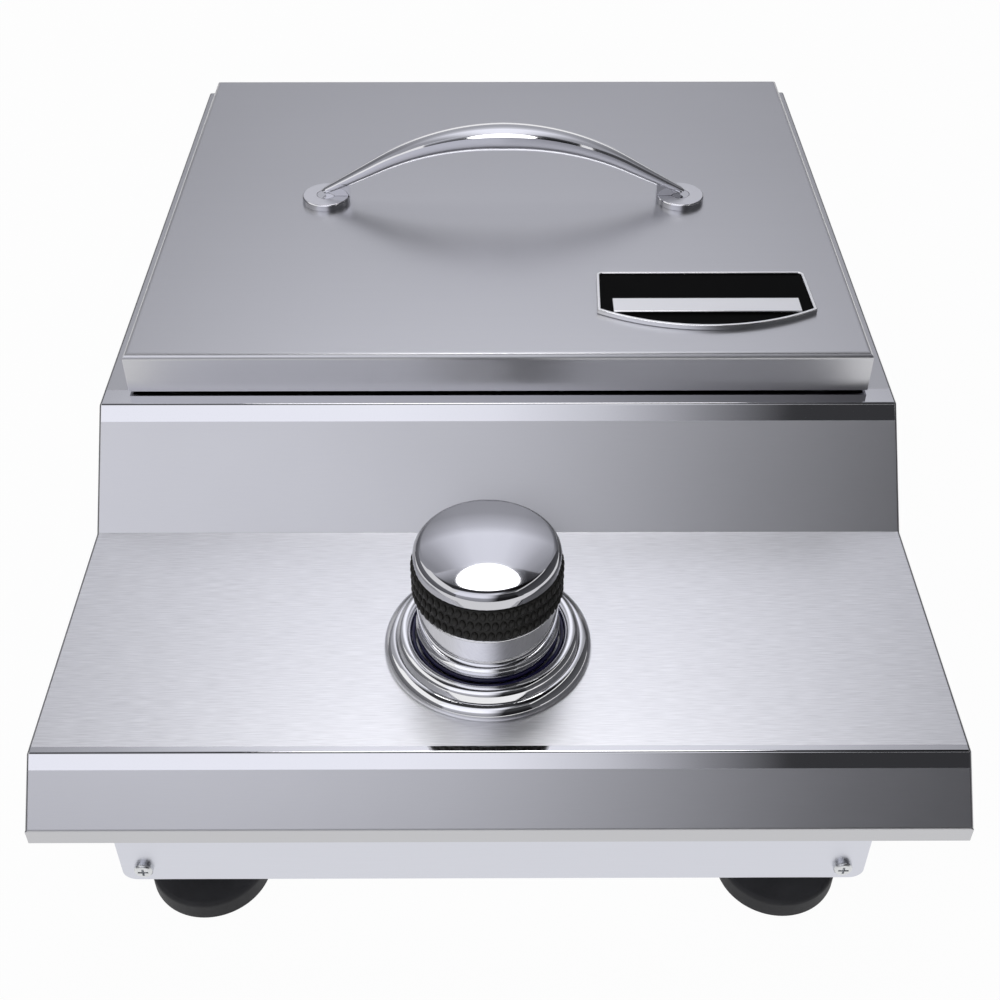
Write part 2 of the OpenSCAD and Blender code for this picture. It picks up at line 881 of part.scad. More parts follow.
module burner_bracket() {
    top_z = boss_bottom_z - seat_gap;
    base_z = floor_top_z + seat_gap;
    rise = top_z - base_z;
    color("silver")
        at_burner()
            difference() {
                translate([0, strap_w / 2, base_z])
                    rotate([90, 0, 0])
                        linear_extrude(strap_w)
                            difference() {
                                union() {
                                    translate([-strap_l / 2, 0])
                                        square([strap_l, rise]);
                                    translate([-strap_l / 2 - strap_foot_l, 0])
                                        square([strap_l + 2 * strap_foot_l, strap_t]);
                                }
                                translate([strap_t - strap_l / 2, -cut])
                                    square([strap_l - 2 * strap_t, rise - strap_t + cut]);
                            }
                translate([0, 0, top_z - strap_t - cut])
                    cylinder(r = m5_r + screw_gap, h = strap_t + 2 * cut);
            }
}

module burner_screw() {
    color("gray")
        at_burner()
            translate([0, 0, boss_bottom_z - seat_gap - strap_t])
                rotate([180, 0, 0])
                    pan_screw(m5_head_r, m5_head_h, m5_r, strap_t + boss_h - loose);
}

module air_shutter() {
    color("silver")
        difference() {
            union() {
                translate([control_x, shutter_y, tube_z])
                    rotate([-90, 0, 0])
                        cylinder(r = tube_r + running + shutter_wall, h = shutter_l - running);
                translate([control_x - tab_w / 2, shutter_y, tube_z - tube_r - tab_l])
                    cube([tab_w, shutter_wall, tab_l]);
            }
            translate([control_x, shutter_y - cut, tube_z])
                rotate([-90, 0, 0])
                    cylinder(r = tube_r + running, h = shutter_l + 2 * cut);
            air_windows(tube_r + shutter_wall);
        }
}

module igniter_electrode() {
    color("white")
        translate([0, lid_y, 0])
            at_electrode()
                difference() {
                    union() {
                        translate([0, 0, bowl_bottom_z - electrode_under_floor])
                            cylinder(r = electrode_r,
                                h = electrode_under_floor + bowl_t + electrode_over_floor);
                        translate([0, 0, bowl_floor_z + seat_gap])
                            cylinder(r = electrode_collar_r, h = electrode_collar_h);
                    }
                    translate([0, 0, bowl_floor_z])
                        cylinder(r = pin_r + running, h = electrode_over_floor + cut);
                }
}

module spark_pin() {
    top_z = bowl_floor_z + electrode_over_floor + pin_over;
    color("silver")
        translate([0, lid_y, 0])
            at_electrode() {
                translate([0, 0, bowl_floor_z])
                    cylinder(r = pin_r, h = top_z - bowl_floor_z);
                translate([0, 0, top_z])
                    sphere(pin_r);
                translate([0, 0, top_z])
                    rotate([0, -90, 0])
                        cylinder(r = pin_r, h = electrode_gap);
            }
}

module igniter_clip() {
    color("silver")
        translate([0, lid_y, 0])
            at_electrode()
                difference() {
                    translate([-clip_w / 2, -clip_d / 2, bowl_bottom_z - seat_gap - sheet])
                        cube([clip_w, clip_d, sheet]);
                    translate([0, 0, bowl_bottom_z - sheet - cut])
                        cylinder(r = electrode_r + running, h = sheet + 2 * cut);
                }
}

// Valve body: barrel, mounting flange, neck round the stem, and bosses for the jet and the pipe
module valve_body() {
    color([0.75, 0.62, 0.35])
        difference() {
            translate([control_x, control_y, 0])
                union() {
                    translate([0, 0, valve_base_z])
                        cylinder(r = valve_r, h = valve_top_z - valve_base_z);
                    translate([0, 0, valve_top_z - valve_flange_t])
                        linear_extrude(valve_flange_t)
                            rounded_rect(2 * (valve_screw_x + m4_head_r + sheet), 2 * valve_neck_r,
                                m4_head_r);
                    cylinder_from(valve_neck_r, valve_top_z, valve_top_z + valve_neck_h);
                    translate([0, 0, tube_z])
                        rotate([-90, 0, 0])
                            cylinder(r = valve_boss_r, h = valve_r + valve_boss_l);
                    translate([0, 0, inlet_z])
                        rotate([0, 90, 0])
                            cylinder(r = pipe_r + pipe_wall + sheet, h = valve_r + inlet_boss_l);
                }
            translate([control_x, control_y, 0]) {
                cylinder_from(plug_r + running, plug_z - seat_gap, plug_top_z + seat_gap);
                cylinder_from(stem_r + running, plug_top_z, valve_top_z + valve_neck_h + cut);
                // Gas way from the plug to the jet
                translate([0, plug_r - cut, tube_z])
                    rotate([-90, 0, 0])
                        cylinder(r = gas_bore_r, h = valve_r + valve_boss_l);
                // Gas way and socket for the pipe
                translate([valve_r + inlet_boss_l - socket_l, 0, inlet_z])
                    rotate([0, 90, 0])
                        cylinder(r = pipe_r + running, h = socket_l + cut);
                for (x = [-1, 1])
                    translate([x * valve_screw_x, 0, 0])
                        cylinder_from(m4_r + running, valve_top_z - valve_flange_t - cut, valve_top_z + cut);
            }
        }
}

// Plug that the stem turns inside the valve, with a cross way for the gas
module valve_plug() {
    color([0.8, 0.7, 0.45])
        translate([control_x, control_y, 0])
            difference() {
                cylinder_from(plug_r, plug_z, plug_top_z);
                translate([0, 0, plug_z + stem_socket_t])
                    flat_shaft(stem_r + running, plug_h);
            }
}

module valve_stem() {
    color("silver")
        translate([control_x, control_y, stem_z])
            flat_shaft(stem_r, shelf_z + stem_top_over_shelf - stem_z);
}

// Hat-shaped bracket that hangs the valve under the shelf
module valve_bracket() {
    top_z = shelf_under_z - seat_gap;
    color("silver")
        translate([control_x, control_y, 0])
            difference() {
                union() {
                    translate([-bracket_w / 2, -bracket_d / 2, bracket_plate_z])
                        cube([bracket_w, bracket_d, bracket_t]);
                    for (side = [-1, 1]) {
                        translate([side * (bracket_w - bracket_t) / 2 - bracket_t / 2, -bracket_d / 2,
                                bracket_plate_z])
                            cube([bracket_t, bracket_d, top_z - bracket_plate_z]);
                        translate([side * (bracket_w + bracket_foot_w) / 2 - bracket_foot_w / 2,
                                -bracket_d / 2, top_z - bracket_t])
                            cube([bracket_foot_w, bracket_d, bracket_t]);
                    }
                }
                cylinder_from(valve_neck_r + loose, bracket_plate_z - cut,
                    bracket_plate_z + bracket_t + cut);
                for (x = [-1, 1])
                    translate([x * valve_screw_x, 0, 0])
                        cylinder_from(m4_r + screw_gap, bracket_plate_z - cut,
                            bracket_plate_z + bracket_t + cut);
            }
}

module valve_screws() {
    color("gray")
        for (x = [-1, 1])
            translate([control_x + x * valve_screw_x, control_y, bracket_plate_z + bracket_t])
                pan_screw(m4_head_r, m4_head_h, m4_r, bracket_t + valve_flange_t);
}

// Jet that blows the gas into the tube's mouth
module orifice() {
    color([0.82, 0.68, 0.35])
        translate([control_x, control_y + valve_r + valve_boss_l + seat_gap, tube_z])
            rotate([-90, 0, 0])
                difference() {
                    union() {
                        cylinder(r = spud_hex_r, h = spud_l - spud_nose_l, $fn = 6);
                        cylinder(r1 = spud_nose_r, r2 = spud_nose_r / 2, h = spud_l);
                    }
                    translate([0, 0, -cut])
                        cylinder(r = spud_bore_r, h = spud_l + 2 * cut);
                }
}

// Pipe from the inlet at the rear, round one bend, to the valve
pipe_end_x = control_x + valve_r + inlet_boss_l - socket_l;
pipe_rear_y = chassis_rear_y - sheet - fitting_flange_l - fitting_inner_l + socket_l - 2 * seat_gap;

module gas_pipe() {
    color([0.8, 0.66, 0.36])
        translate([0, 0, inlet_z])
            difference() {
                pipe_run(pipe_r, 0);
                pipe_run(pipe_r - pipe_wall, cut);
            }
}

module pipe_run(r, extra) {
    straight_x = inlet_x - pipe_bend_r;
    straight_y = control_y + pipe_bend_r;
    translate([pipe_end_x - extra, control_y, 0])
        rotate([0, 90, 0])
            cylinder(r = r, h = straight_x - pipe_end_x + extra);
    translate([inlet_x, straight_y, 0])
        rotate([-90, 0, 0])
            cylinder(r = r, h = pipe_rear_y - straight_y + extra);
    translate([straight_x, straight_y, 0])
        rotate(-90)
            rotate_extrude(angle = 90)
                translate([pipe_bend_r, 0])
                    circle(r);
}

module pipe_nuts() {
    color([0.82, 0.7, 0.4]) {
        translate([control_x + valve_r + inlet_boss_l + seat_gap, control_y, inlet_z])
            rotate([0, 90, 0])
                hex_nut(nut_r, nut_l, pipe_r + running);
        translate([inlet_x, chassis_rear_y - sheet - fitting_flange_l - fitting_inner_l - seat_gap, inlet_z])
            rotate([90, 0, 0])
                hex_nut(nut_r, nut_l, pipe_r + running);
    }
}

// Bulkhead fitting in the rear wall: flange and socket inside, thread and flare outside
module inlet_fitting() {
    inner_l = fitting_inner_l + fitting_flange_l;
    shank_l = seat_gap + sheet + seat_gap + locknut_l + seat_gap;
    thread_end_l = shank_l + thread_l;
    outer_l = thread_end_l + flare_l;
    color([0.82, 0.68, 0.35])
        translate([inlet_x, chassis_rear_y - sheet - seat_gap, inlet_z])
            rotate([-90, 0, 0])
                rotate_extrude()
                    difference() {
                        polygon([[0, -inner_l], [nut_r - sheet, -inner_l],
                            [nut_r - sheet, -fitting_flange_l], [fitting_flange_r, -fitting_flange_l],
                            [fitting_flange_r, 0], [inlet_shank_r, 0], [inlet_shank_r, shank_l],
                            [inlet_thread_r, shank_l], [inlet_thread_r, thread_end_l],
                            [flare_tip_r, outer_l], [0, outer_l]]);
                        translate([0, -inner_l - cut])
                            square([gas_bore_r, inner_l + outer_l + 2 * cut]);
                        translate([0, -inner_l - cut])
                            square([pipe_r + running, socket_l + cut]);
                    }
}

module inlet_locknut() {
    color([0.82, 0.7, 0.4])
        translate([inlet_x, chassis_rear_y + seat_gap, inlet_z])
            rotate([-90, 0, 0])
                hex_nut(locknut_r, locknut_l, inlet_shank_r + running);
}

// Bezel: spun ring with an outer roll, a valley and an inner bead round its opening
bezel_roll_r = 4.2;
bezel_bead_r = 2.8;
bezel_edge_h = 0.8;
bezel_pad_h = 3;

module bezel() {
    bead_mid_r = bezel_bore_r + bezel_bead_r;
    bead_mid_z = bezel_h - bezel_bead_r;
    roll_mid_r = bezel_r - bezel_roll_r;
    color([0.8, 0.8, 0.82])
        translate([control_x, control_y, shelf_z + seat_gap])
            difference() {
                rotate_extrude()
                    union() {
                        // Outer roll, a quarter circle that stands on a low edge
                        intersection() {
                            translate([roll_mid_r, bezel_edge_h])
                                circle(bezel_roll_r);
                            translate([bezel_bore_r, 0])
                                square([bezel_r - bezel_bore_r, bezel_h]);
                        }
                        translate([bezel_bore_r, 0])
                            square([bezel_r - bezel_bore_r, bezel_edge_h]);
                        // Body under the valley and the bead
                        translate([bezel_bore_r, 0])
                            square([roll_mid_r - bezel_bore_r, bezel_edge_h + bezel_roll_r]);
                        translate([bezel_bore_r, 0])
                            square([2 * bezel_bead_r, bead_mid_z]);
                        translate([bead_mid_r, bead_mid_z])
                            circle(bezel_bead_r);
                    }
                for (a = [90, 270])
                    rotate(a)
                        translate([bezel_screw_ring_r, 0, -cut])
                            cylinder(r = m4_r - screw_gap, h = bezel_pad_h + cut);
            }
}

module light_ring() {
    color([0.07, 0.07, 0.25])
        translate([control_x, control_y, shelf_z + seat_gap])
            difference() {
                cylinder(r = bezel_bore_r - loose / 2, h = ring_h);
                translate([0, 0, -cut])
                    cylinder(r = ring_bore_r, h = ring_h + 2 * cut);
            }
}

module bezel_screws() {
    color("gray")
        at_bezel_screws()
            translate([0, 0, shelf_under_z])
                rotate([180, 0, 0])
                    pan_screw(m4_head_r, m4_head_h, m4_r - screw_gap - running,
                        sheet + bezel_pad_h - loose);
}

// Knob: a hollow skirt with a hub, the core that carries the grip, a knurled grip and a domed cap
knob_wall = 2.6;
hub_r = 8;
hub_foot = 1.5;
lip_edge_h = 1.3;
neck_draw = 0.8;
core_r = 24.4;
groove_h = 0.7;
cap_edge_r = 4.2;
cap_crown = 2.9;
cap_rim_h = 0.8;
cap_steps = 10;

module knob_body() {
    lip_z = grip_z - lip_edge_h;
    core_top_z = grip_z + grip_h;
    neck_top_r = knob_skirt_r - neck_draw / 2;
    color([0.82, 0.82, 0.84])
        translate([control_x, control_y, shelf_z])
            difference() {
                rotate_extrude()
                    difference() {
                        polygon([[0, knob_skirt_z], [knob_skirt_r, knob_skirt_z],
                            [knob_skirt_r, knob_neck_z - groove_h],
                            [knob_skirt_r - neck_draw, knob_neck_z],
                            [neck_top_r, lip_z], [cap_r, lip_z + lip_edge_h / 2],
                            [cap_r - neck_draw, grip_z], [core_r, grip_z], [core_r, core_top_z],
                            [0, core_top_z]]);
                        translate([hub_r, knob_skirt_z - cut])
                            square([knob_skirt_r - neck_draw - knob_wall - hub_r,
                                lip_z - knob_wall - knob_skirt_z + cut]);
                        translate([hub_r, knob_skirt_z - cut])
                            square([core_r - knob_wall - hub_r,
                                core_top_z - knob_wall - knob_skirt_z + cut]);
                        translate([0, knob_skirt_z - cut])
                            square([hub_r + cut, hub_foot + cut]);
                    }
                translate([0, 0, knob_skirt_z])
                    flat_shaft(stem_r + running, stem_top_over_shelf + running - knob_skirt_z);
            }
}

// Radius of the knurled surface at a column and a level: rows of staggered studs
function knurl(column, level) =
    let (row = (level - 1) / 2,
         peak = level % 2 == 1 && (column + row) % 2 == 0)
    grip_r + (peak ? knurl_h : 0);

module knob_grip() {
    columns = 2 * knurl_count;
    levels = 2 * knurl_rows;
    bore_r = core_r + loose / 2;
    base_z = grip_z + seat_gap;
    rise = grip_h - seat_gap;
    outer = [for (k = [0 : levels], i = [0 : columns - 1])
        let (a = 360 * i / columns, r = knurl(i, k))
        [r * cos(a), r * sin(a), base_z + rise * k / levels]];
    inner = [for (k = [0, 1], i = [0 : columns - 1])
        let (a = 360 * i / columns)
        [bore_r * cos(a), bore_r * sin(a), base_z + rise * k]];
    low_in = len(outer);
    high_in = low_in + columns;
    high_out = levels * columns;
    color([0.1, 0.1, 0.1])
        translate([control_x, control_y, shelf_z])
            polyhedron(concat(outer, inner), concat(
                [for (k = [0 : levels - 1], i = [0 : columns - 1])
                    let (a = k * columns + i, b = k * columns + (i + 1) % columns)
                    each ((i + k) % 2 == 0 ? [[a, a + columns, b + columns], [a, b + columns, b]]
                        : [[a, a + columns, b], [b, a + columns, b + columns]])],
                [for (i = [0 : columns - 1])
                    let (j = (i + 1) % columns)
                    each [[low_in + i, low_in + j, high_in + j], [low_in + i, high_in + j, high_in + i],
                        [i, j, low_in + j], [i, low_in + j, low_in + i],
                        [high_out + i, high_in + i, high_in + j],
                        [high_out + i, high_in + j, high_out + j]]]));
}

module knob_cap() {
    base_z = grip_z + grip_h + seat_gap;
    flat_r = cap_r - cap_edge_r;
    wall_h = cap_h - cap_crown - cap_edge_r;
    dome_r = (flat_r * flat_r + cap_crown * cap_crown) / (2 * cap_crown);
    dome_a = asin(flat_r / dome_r);
    color([0.82, 0.82, 0.84])
        translate([control_x, control_y, shelf_z + base_z])
            rotate_extrude()
                difference() {
                    cap_outline(flat_r, wall_h, dome_a);
                    translate([0, -cut])
                        square([core_r - knob_wall, wall_h + cut]);
                }
}

// Half outline of the cap: rim, rounded edge and shallow dome
module cap_outline(flat_r, wall_h, dome_a) {
    edge_r = flat_r + cap_edge_r * sin(dome_a);
    foot = wall_h + cap_edge_r * cos(dome_a);
    big_r = edge_r / sin(dome_a);
    polygon(concat([[0, 0], [cap_r - cap_rim_h, 0], [cap_r, cap_rim_h]],
        [for (i = [0 : cap_steps])
            let (a = (90 - dome_a) * i / cap_steps)
            [flat_r + cap_edge_r * cos(a), wall_h + cap_edge_r * sin(a)]],
        [for (i = [1 : cap_steps])
            let (a = dome_a * (1 - i / cap_steps))
            [big_r * sin(a), foot + big_r * (cos(a) - cos(dome_a))]]));
}

// Lid: a pan of folded sheet, open below
module lid() {
    color("silver")
        difference() {
            translate([0, lid_y, lid_base_z])
                lid_block(lid_w, lid_d, lid_h, lid_bend_r);
            translate([0, lid_y, lid_base_z - cut])
                lid_block(lid_w - 2 * sheet, lid_d - 2 * sheet, lid_h - sheet + cut, lid_bend_r - sheet);
            at_handle_bases()
                translate([0, 0, -sheet - cut])
                    cylinder(r = m4_r + screw_gap, h = sheet + 2 * cut);
        }
}

// A block whose four upper edges are rounded
module lid_block(w, d, h, r) {
    intersection() {
        rotate([90, 0, 0])
            linear_extrude(d, center = true)
                crowned_outline(w, h, r);
        rotate([90, 0, 90])
            linear_extrude(w, center = true)
                crowned_outline(d, h, r);
    }
}

module crowned_outline(w, h, r) {
    translate([-w / 2, 0])
        square([w, h - r]);
    translate([-w / 2 + r, 0])
        square([w - 2 * r, h]);
    for (x = [-1, 1])
        translate([x * (w / 2 - r), h - r])
            circle(r);
}

module lid_bumpers() {
    middle_x = lid_w / 2 - bumper_inset - bumper_w / 2;
    middle_y = lid_d / 2 - bumper_margin;
    color([0.15, 0.15, 0.15])
        for (x = [-1, 1], y = [-1, 1])
            translate([x * middle_x - bumper_w / 2, lid_y + y * middle_y - bumper_l / 2, deck_z])
                cube([bumper_w, bumper_l, bumper_h]);
}

// Places of the handle bases on the lid's top, with the second turned to face the first
module at_handle_bases() {
    for (a = [0, 180])
        translate([handle_x, lid_y - handle_forward, lid_top_z])
            rotate(a)
                translate([handle_span / 2, 0, 0])
                    children();
}

module handle_bases() {
    color([0.85, 0.85, 0.87])
        at_handle_bases()
            difference() {
                union() {
                    cylinder(r = base_r, h = base_h - base_edge);
                    translate([0, 0, base_h - base_edge])
                        cylinder(r1 = base_r, r2 = base_r - base_edge, h = base_edge);
                }
                translate([0, 0, -cut])
                    cylinder(r = foot_boss_r + loose / 2, h = base_h + 2 * cut);
                translate([-base_r - cut, -web_t / 2 - loose / 2, -cut])
                    cube([base_r + cut, web_t + loose, base_h + 2 * cut]);
            }
}

// The arch: a round middle stretch that runs straight into both ends
arch_a = asin(arch_half_l / arch_r);
arch_arc_l = arch_r * arch_a * PI / 180;
arch_run_l = (handle_span / 2 - arch_half_l) / cos(arch_a);
arch_l = arch_arc_l + arch_run_l;
arch_sagitta = arch_r * (1 - cos(arch_a));
handle_rise = handle_end_z + arch_sagitta + arch_run_l * sin(arch_a);

// Slope of the arch, and place of its edge line, at a distance s along it from the middle
function arch_slope(s) = abs(s) < arch_arc_l ? s / arch_r * 180 / PI : sign(s) * arch_a;
function arch_x(s) =
    abs(s) < arch_arc_l ? arch_r * sin(arch_slope(s))
        : sign(s) * (arch_half_l + (abs(s) - arch_arc_l) * cos(arch_a));
function arch_z(s) =
    abs(s) < arch_arc_l ? handle_rise - arch_r * (1 - cos(arch_slope(s)))
        : handle_rise - arch_sagitta - (abs(s) - arch_arc_l) * sin(arch_a);
// Share of the bar's fullness left at s, which falls from one to zero
function arch_taper(s) = 1 - pow(min(1, abs(s) / arch_l), taper_power);
function between(low, high, share) = low + (high - low) * share;
// Share of the end's thickness that is left past the end of the arch
function end_round(s) =
    abs(s) <= arch_l ? 1 : sqrt(max(end_blunt_share, 1 - pow((abs(s) - arch_l) / end_l, 2)));
function bar_ring(s) =
    let (k = arch_taper(s),
         q = end_round(s),
         half_w = between(bar_end_w, bar_w, k) / 2 * q,
         crown = between(bar_crown / 2, bar_crown, k) * q,
         belly = between(bar_end_belly, bar_belly, k) * q,
         slope = arch_slope(s))
    [for (i = [0 : bar_sides - 1])
        let (t = 360 * i / bar_sides,
             n = sin(t) > 0 ? crown * sin(t) : belly * sin(t))
        [arch_x(s) + n * sin(slope), half_w * cos(t), arch_z(s) + n * cos(slope)]];

module handle_bar() {
    stations = concat([for (share = [1, end_step_share, 1 / 2]) -arch_l - end_l * share],
        [for (i = [0 : bar_steps]) between(-arch_l, arch_l, i / bar_steps)],
        [for (share = [1 / 2, end_step_share, 1]) arch_l + end_l * share]);
    points = [for (s = stations) each bar_ring(s)];
    rings = len(stations);
    color([0.85, 0.85, 0.87]) {
        translate([handle_x, lid_y - handle_forward, lid_top_z])
            polyhedron(points, concat(
                [for (k = [0 : rings - 2], i = [0 : bar_sides - 1])
                    let (a = k * bar_sides + i, b = k * bar_sides + (i + 1) % bar_sides)
                    each [[a, b + bar_sides, b], [a, a + bar_sides, b + bar_sides]]],
                [[for (i = [0 : bar_sides - 1]) i]],
                [[for (i = [bar_sides - 1 : -1 : 0]) (rings - 1) * bar_sides + i]]));
        at_handle_bases()
            difference() {
                union() {
                    handle_web();
                    cylinder(r = foot_boss_r, h = base_h + bar_end_belly / 2);
                }
                translate([0, 0, -cut])
                    cylinder(r = m4_r - screw_gap, h = base_h + cut);
            }
    }
}

// Web that fills the base's slot and closes the corner under the bar
module handle_web() {
    inner_x = handle_span / 2 - base_r;
    inner_s = arch_arc_l + (inner_x - arch_half_l) / cos(arch_a);
    translate([0, web_t / 2, 0])
        rotate([90, 0, 0])
            linear_extrude(web_t)
                polygon([[0, 0], [-base_r, 0], [-base_r, arch_z(inner_s) - sheet],
                    [0, arch_z(arch_l) - bar_crown / 2]]);
}

module handle_screws() {
    color("gray")
        at_handle_bases()
            translate([0, 0, -sheet])
                rotate([180, 0, 0])
                    pan_screw(m4_head_r, m4_head_h, m4_r - screw_gap - running, sheet + base_h - loose);
}

// Badge: outline with a straight rear edge and a bowed front edge, drawn smaller by inset
module badge_outline(inset) {
    half_w = badge_w / 2;
    bow_r = (half_w * half_w + badge_bow * badge_bow) / (2 * badge_bow);
    rear_y = lid_front_y + badge_rear;
    front_y = rear_y - badge_d;
    corners = [[-half_w, front_y], [badge_draw - half_w, rear_y], [half_w - badge_draw, rear_y],
        [half_w, front_y]];
    radii = [for (corner = corners) badge_corner_r - inset];
    intersection() {
        translate([badge_x, 0])
            polygon(rounded(inward(corners, inset), radii, bend_steps));
        translate([badge_x, front_y + bow_r])
            circle(bow_r - inset, $fn = bow_fn);
    }
}

module badge_frame() {
    color([0.85, 0.85, 0.87])
        translate([0, 0, lid_top_z + seat_gap])
            difference() {
                linear_extrude(badge_h)
                    badge_outline(0);
                translate([0, 0, -cut])
                    linear_extrude(badge_h + 2 * cut)
                        badge_outline(badge_rim);
            }
}

module badge_face() {
    color([0.03, 0.03, 0.03])
        translate([0, 0, lid_top_z + seat_gap])
            linear_extrude(badge_face_h)
                badge_outline(badge_rim + seat_gap);
}

module badge_bar() {
    bar_y = lid_front_y + badge_rear - badge_bar_back - badge_bar_d;
    color([0.8, 0.8, 0.82])
        translate([badge_x - badge_bar_w / 2, bar_y, lid_top_z + 2 * seat_gap + badge_face_h])
            cube([badge_bar_w, badge_bar_d, badge_bar_h]);
}

hood();
chassis();
front_panel();
panel_screws();
foot_pads();
foot_studs();
foot_nuts();
burner_bowl();
grate_frame();
grate_bars();
burner_body();
burner_cap();
burner_bracket();
burner_screw();
air_shutter();
igniter_electrode();
spark_pin();
igniter_clip();
orifice();
valve_body();
valve_plug();
valve_stem();
valve_bracket();
valve_screws();
gas_pipe();
pipe_nuts();
inlet_fitting();
inlet_locknut();
bezel();
light_ring();
bezel_screws();
knob_body();
knob_grip();
knob_cap();
lid();
lid_bumpers();
handle_bar();
handle_bases();
handle_screws();
badge_frame();
badge_face();
badge_bar();
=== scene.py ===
import json
import math

import bmesh
import bpy
from mathutils import Matrix, Vector

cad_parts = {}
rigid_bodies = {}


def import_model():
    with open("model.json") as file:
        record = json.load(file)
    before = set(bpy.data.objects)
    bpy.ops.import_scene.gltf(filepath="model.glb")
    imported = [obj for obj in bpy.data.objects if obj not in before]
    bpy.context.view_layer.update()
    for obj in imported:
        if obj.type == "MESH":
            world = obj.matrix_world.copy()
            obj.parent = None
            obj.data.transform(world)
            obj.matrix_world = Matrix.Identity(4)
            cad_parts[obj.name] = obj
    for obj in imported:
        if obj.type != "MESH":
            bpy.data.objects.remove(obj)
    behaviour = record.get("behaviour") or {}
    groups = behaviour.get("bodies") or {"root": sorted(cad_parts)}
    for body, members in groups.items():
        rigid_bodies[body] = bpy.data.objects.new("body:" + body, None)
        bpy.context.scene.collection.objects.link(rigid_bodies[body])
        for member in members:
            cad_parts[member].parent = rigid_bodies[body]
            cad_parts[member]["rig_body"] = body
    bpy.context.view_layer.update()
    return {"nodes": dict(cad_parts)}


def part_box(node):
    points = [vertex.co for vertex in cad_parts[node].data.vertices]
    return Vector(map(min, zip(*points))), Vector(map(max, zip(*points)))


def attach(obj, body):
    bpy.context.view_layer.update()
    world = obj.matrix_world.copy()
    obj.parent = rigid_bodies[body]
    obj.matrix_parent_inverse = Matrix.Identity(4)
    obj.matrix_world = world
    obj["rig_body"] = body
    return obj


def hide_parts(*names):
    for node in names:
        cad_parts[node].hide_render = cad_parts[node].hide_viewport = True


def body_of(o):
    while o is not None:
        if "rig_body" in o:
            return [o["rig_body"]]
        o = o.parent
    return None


# %% [markdown]
# A side burner is folded stainless sheet that drops into an outdoor counter: a stepped hood, a loose
# lid with a bow handle, a knob on a shelf, and a gas train below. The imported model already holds
# every piece at its real size, so it is loaded first. Working over a fixed model keeps all new
# meshes on the same axes, where a free sculpt would drift from the joints.

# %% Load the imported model
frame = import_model()
nodes = frame["nodes"]
MM = 0.001
print("nodes loaded:", len(nodes))

# %% [markdown]
# The camera stands where the photographer stood. Its place and tilt were solved from the straight
# edges of the hood, which are parallel in reality and converge in the photograph. A camera could be
# aimed by eye too, but a solved one lets the render be laid over the photograph.

# %% Camera
CAMERA_PLACE = (-0.0011, -0.5241, 0.4891)
CAMERA_PITCH = math.radians(40.879)
CAMERA_YAW = math.radians(0.19)
CAMERA_LENS = 50
SENSOR_WIDTH = 36
SENSOR_SHIFT = 0.0007
NEAREST_SEEN = 10 * MM
camera_data = bpy.data.cameras.new("camera")
camera_data.lens = CAMERA_LENS
camera_data.sensor_width = SENSOR_WIDTH
camera_data.shift_x = SENSOR_SHIFT
camera_data.clip_start = NEAREST_SEEN
camera = bpy.data.objects.new("camera", camera_data)
camera.location = CAMERA_PLACE
camera.rotation_euler = (math.pi / 2 - CAMERA_PITCH, 0, -CAMERA_YAW)
bpy.context.scene.collection.objects.link(camera)
bpy.context.scene.camera = camera
print("camera at", CAMERA_PLACE)

# %% [markdown]
# Every material here is a small graph of nodes. A few helpers keep the graphs readable: one adds a
# node and fills its sockets, one starts a material with its shader, and the others do sums and mix
# colours. Writing each graph out would hide the few values that make one finish differ from the next.


# %% Helpers for node graphs
def add_node(tree, kind, values=None, **settings):
    made = tree.nodes.new(kind)
    for key, value in settings.items():
        setattr(made, key, value)
    for key, value in (values or {}).items():
        if isinstance(value, bpy.types.NodeSocket):
            tree.links.new(value, made.inputs[key])
        else:
            made.inputs[key].default_value = value
    return made


def start_material(name):
    material = bpy.data.materials.new(name)
    material.use_nodes = True
    return material, material.node_tree, material.node_tree.nodes["Principled BSDF"]


def math_node(tree, operation, a, b=0.0, c=0.0):
    return add_node(tree, "ShaderNodeMath", {0: a, 1: b, 2: c}, operation=operation).outputs[0]


def multiply_colour(tree, first, second):
    made = add_node(tree, "ShaderNodeMix", data_type="RGBA", blend_type="MULTIPLY")
    made.inputs[0].default_value = 1.0
    tree.links.new(first, made.inputs[6])
    tree.links.new(second, made.inputs[7])
    return made.outputs[2]


def mix_colour(tree, share, first, second):
    made = add_node(tree, "ShaderNodeMix", data_type="RGBA")
    for socket, value in ((0, share), (6, first), (7, second)):
        if isinstance(value, bpy.types.NodeSocket):
            tree.links.new(value, made.inputs[socket])
        else:
            made.inputs[socket].default_value = value
    return made.outputs[2]


print("node helpers ready")

# %% [markdown]
# The object stands on a pale floor under a pale sky, as in a product photograph. A white floor that
# is only painted would turn grey where the light is weak, so this one glows for the camera and for
# reflections, and only a trace of the shadows stays on it.

# %% Studio floor and sky
FLOOR_SIZE = 12
FLOOR_GLOW = 0.97
SKY_SEEN = 1.0
SKY_LIGHT = 0.55


def stage_plane(name, width, height, place, turn, material):
    bm = bmesh.new()
    bmesh.ops.create_grid(bm, x_segments=1, y_segments=1, size=0.5)
    bmesh.ops.scale(bm, vec=(width, height, 1), verts=bm.verts)
    mesh = bpy.data.meshes.new(name)
    bm.to_mesh(mesh)
    bm.free()
    plane = bpy.data.objects.new(name, mesh)
    plane.location = place
    plane.rotation_euler = turn
    plane.data.materials.append(material)
    bpy.context.scene.collection.objects.link(plane)
    return plane


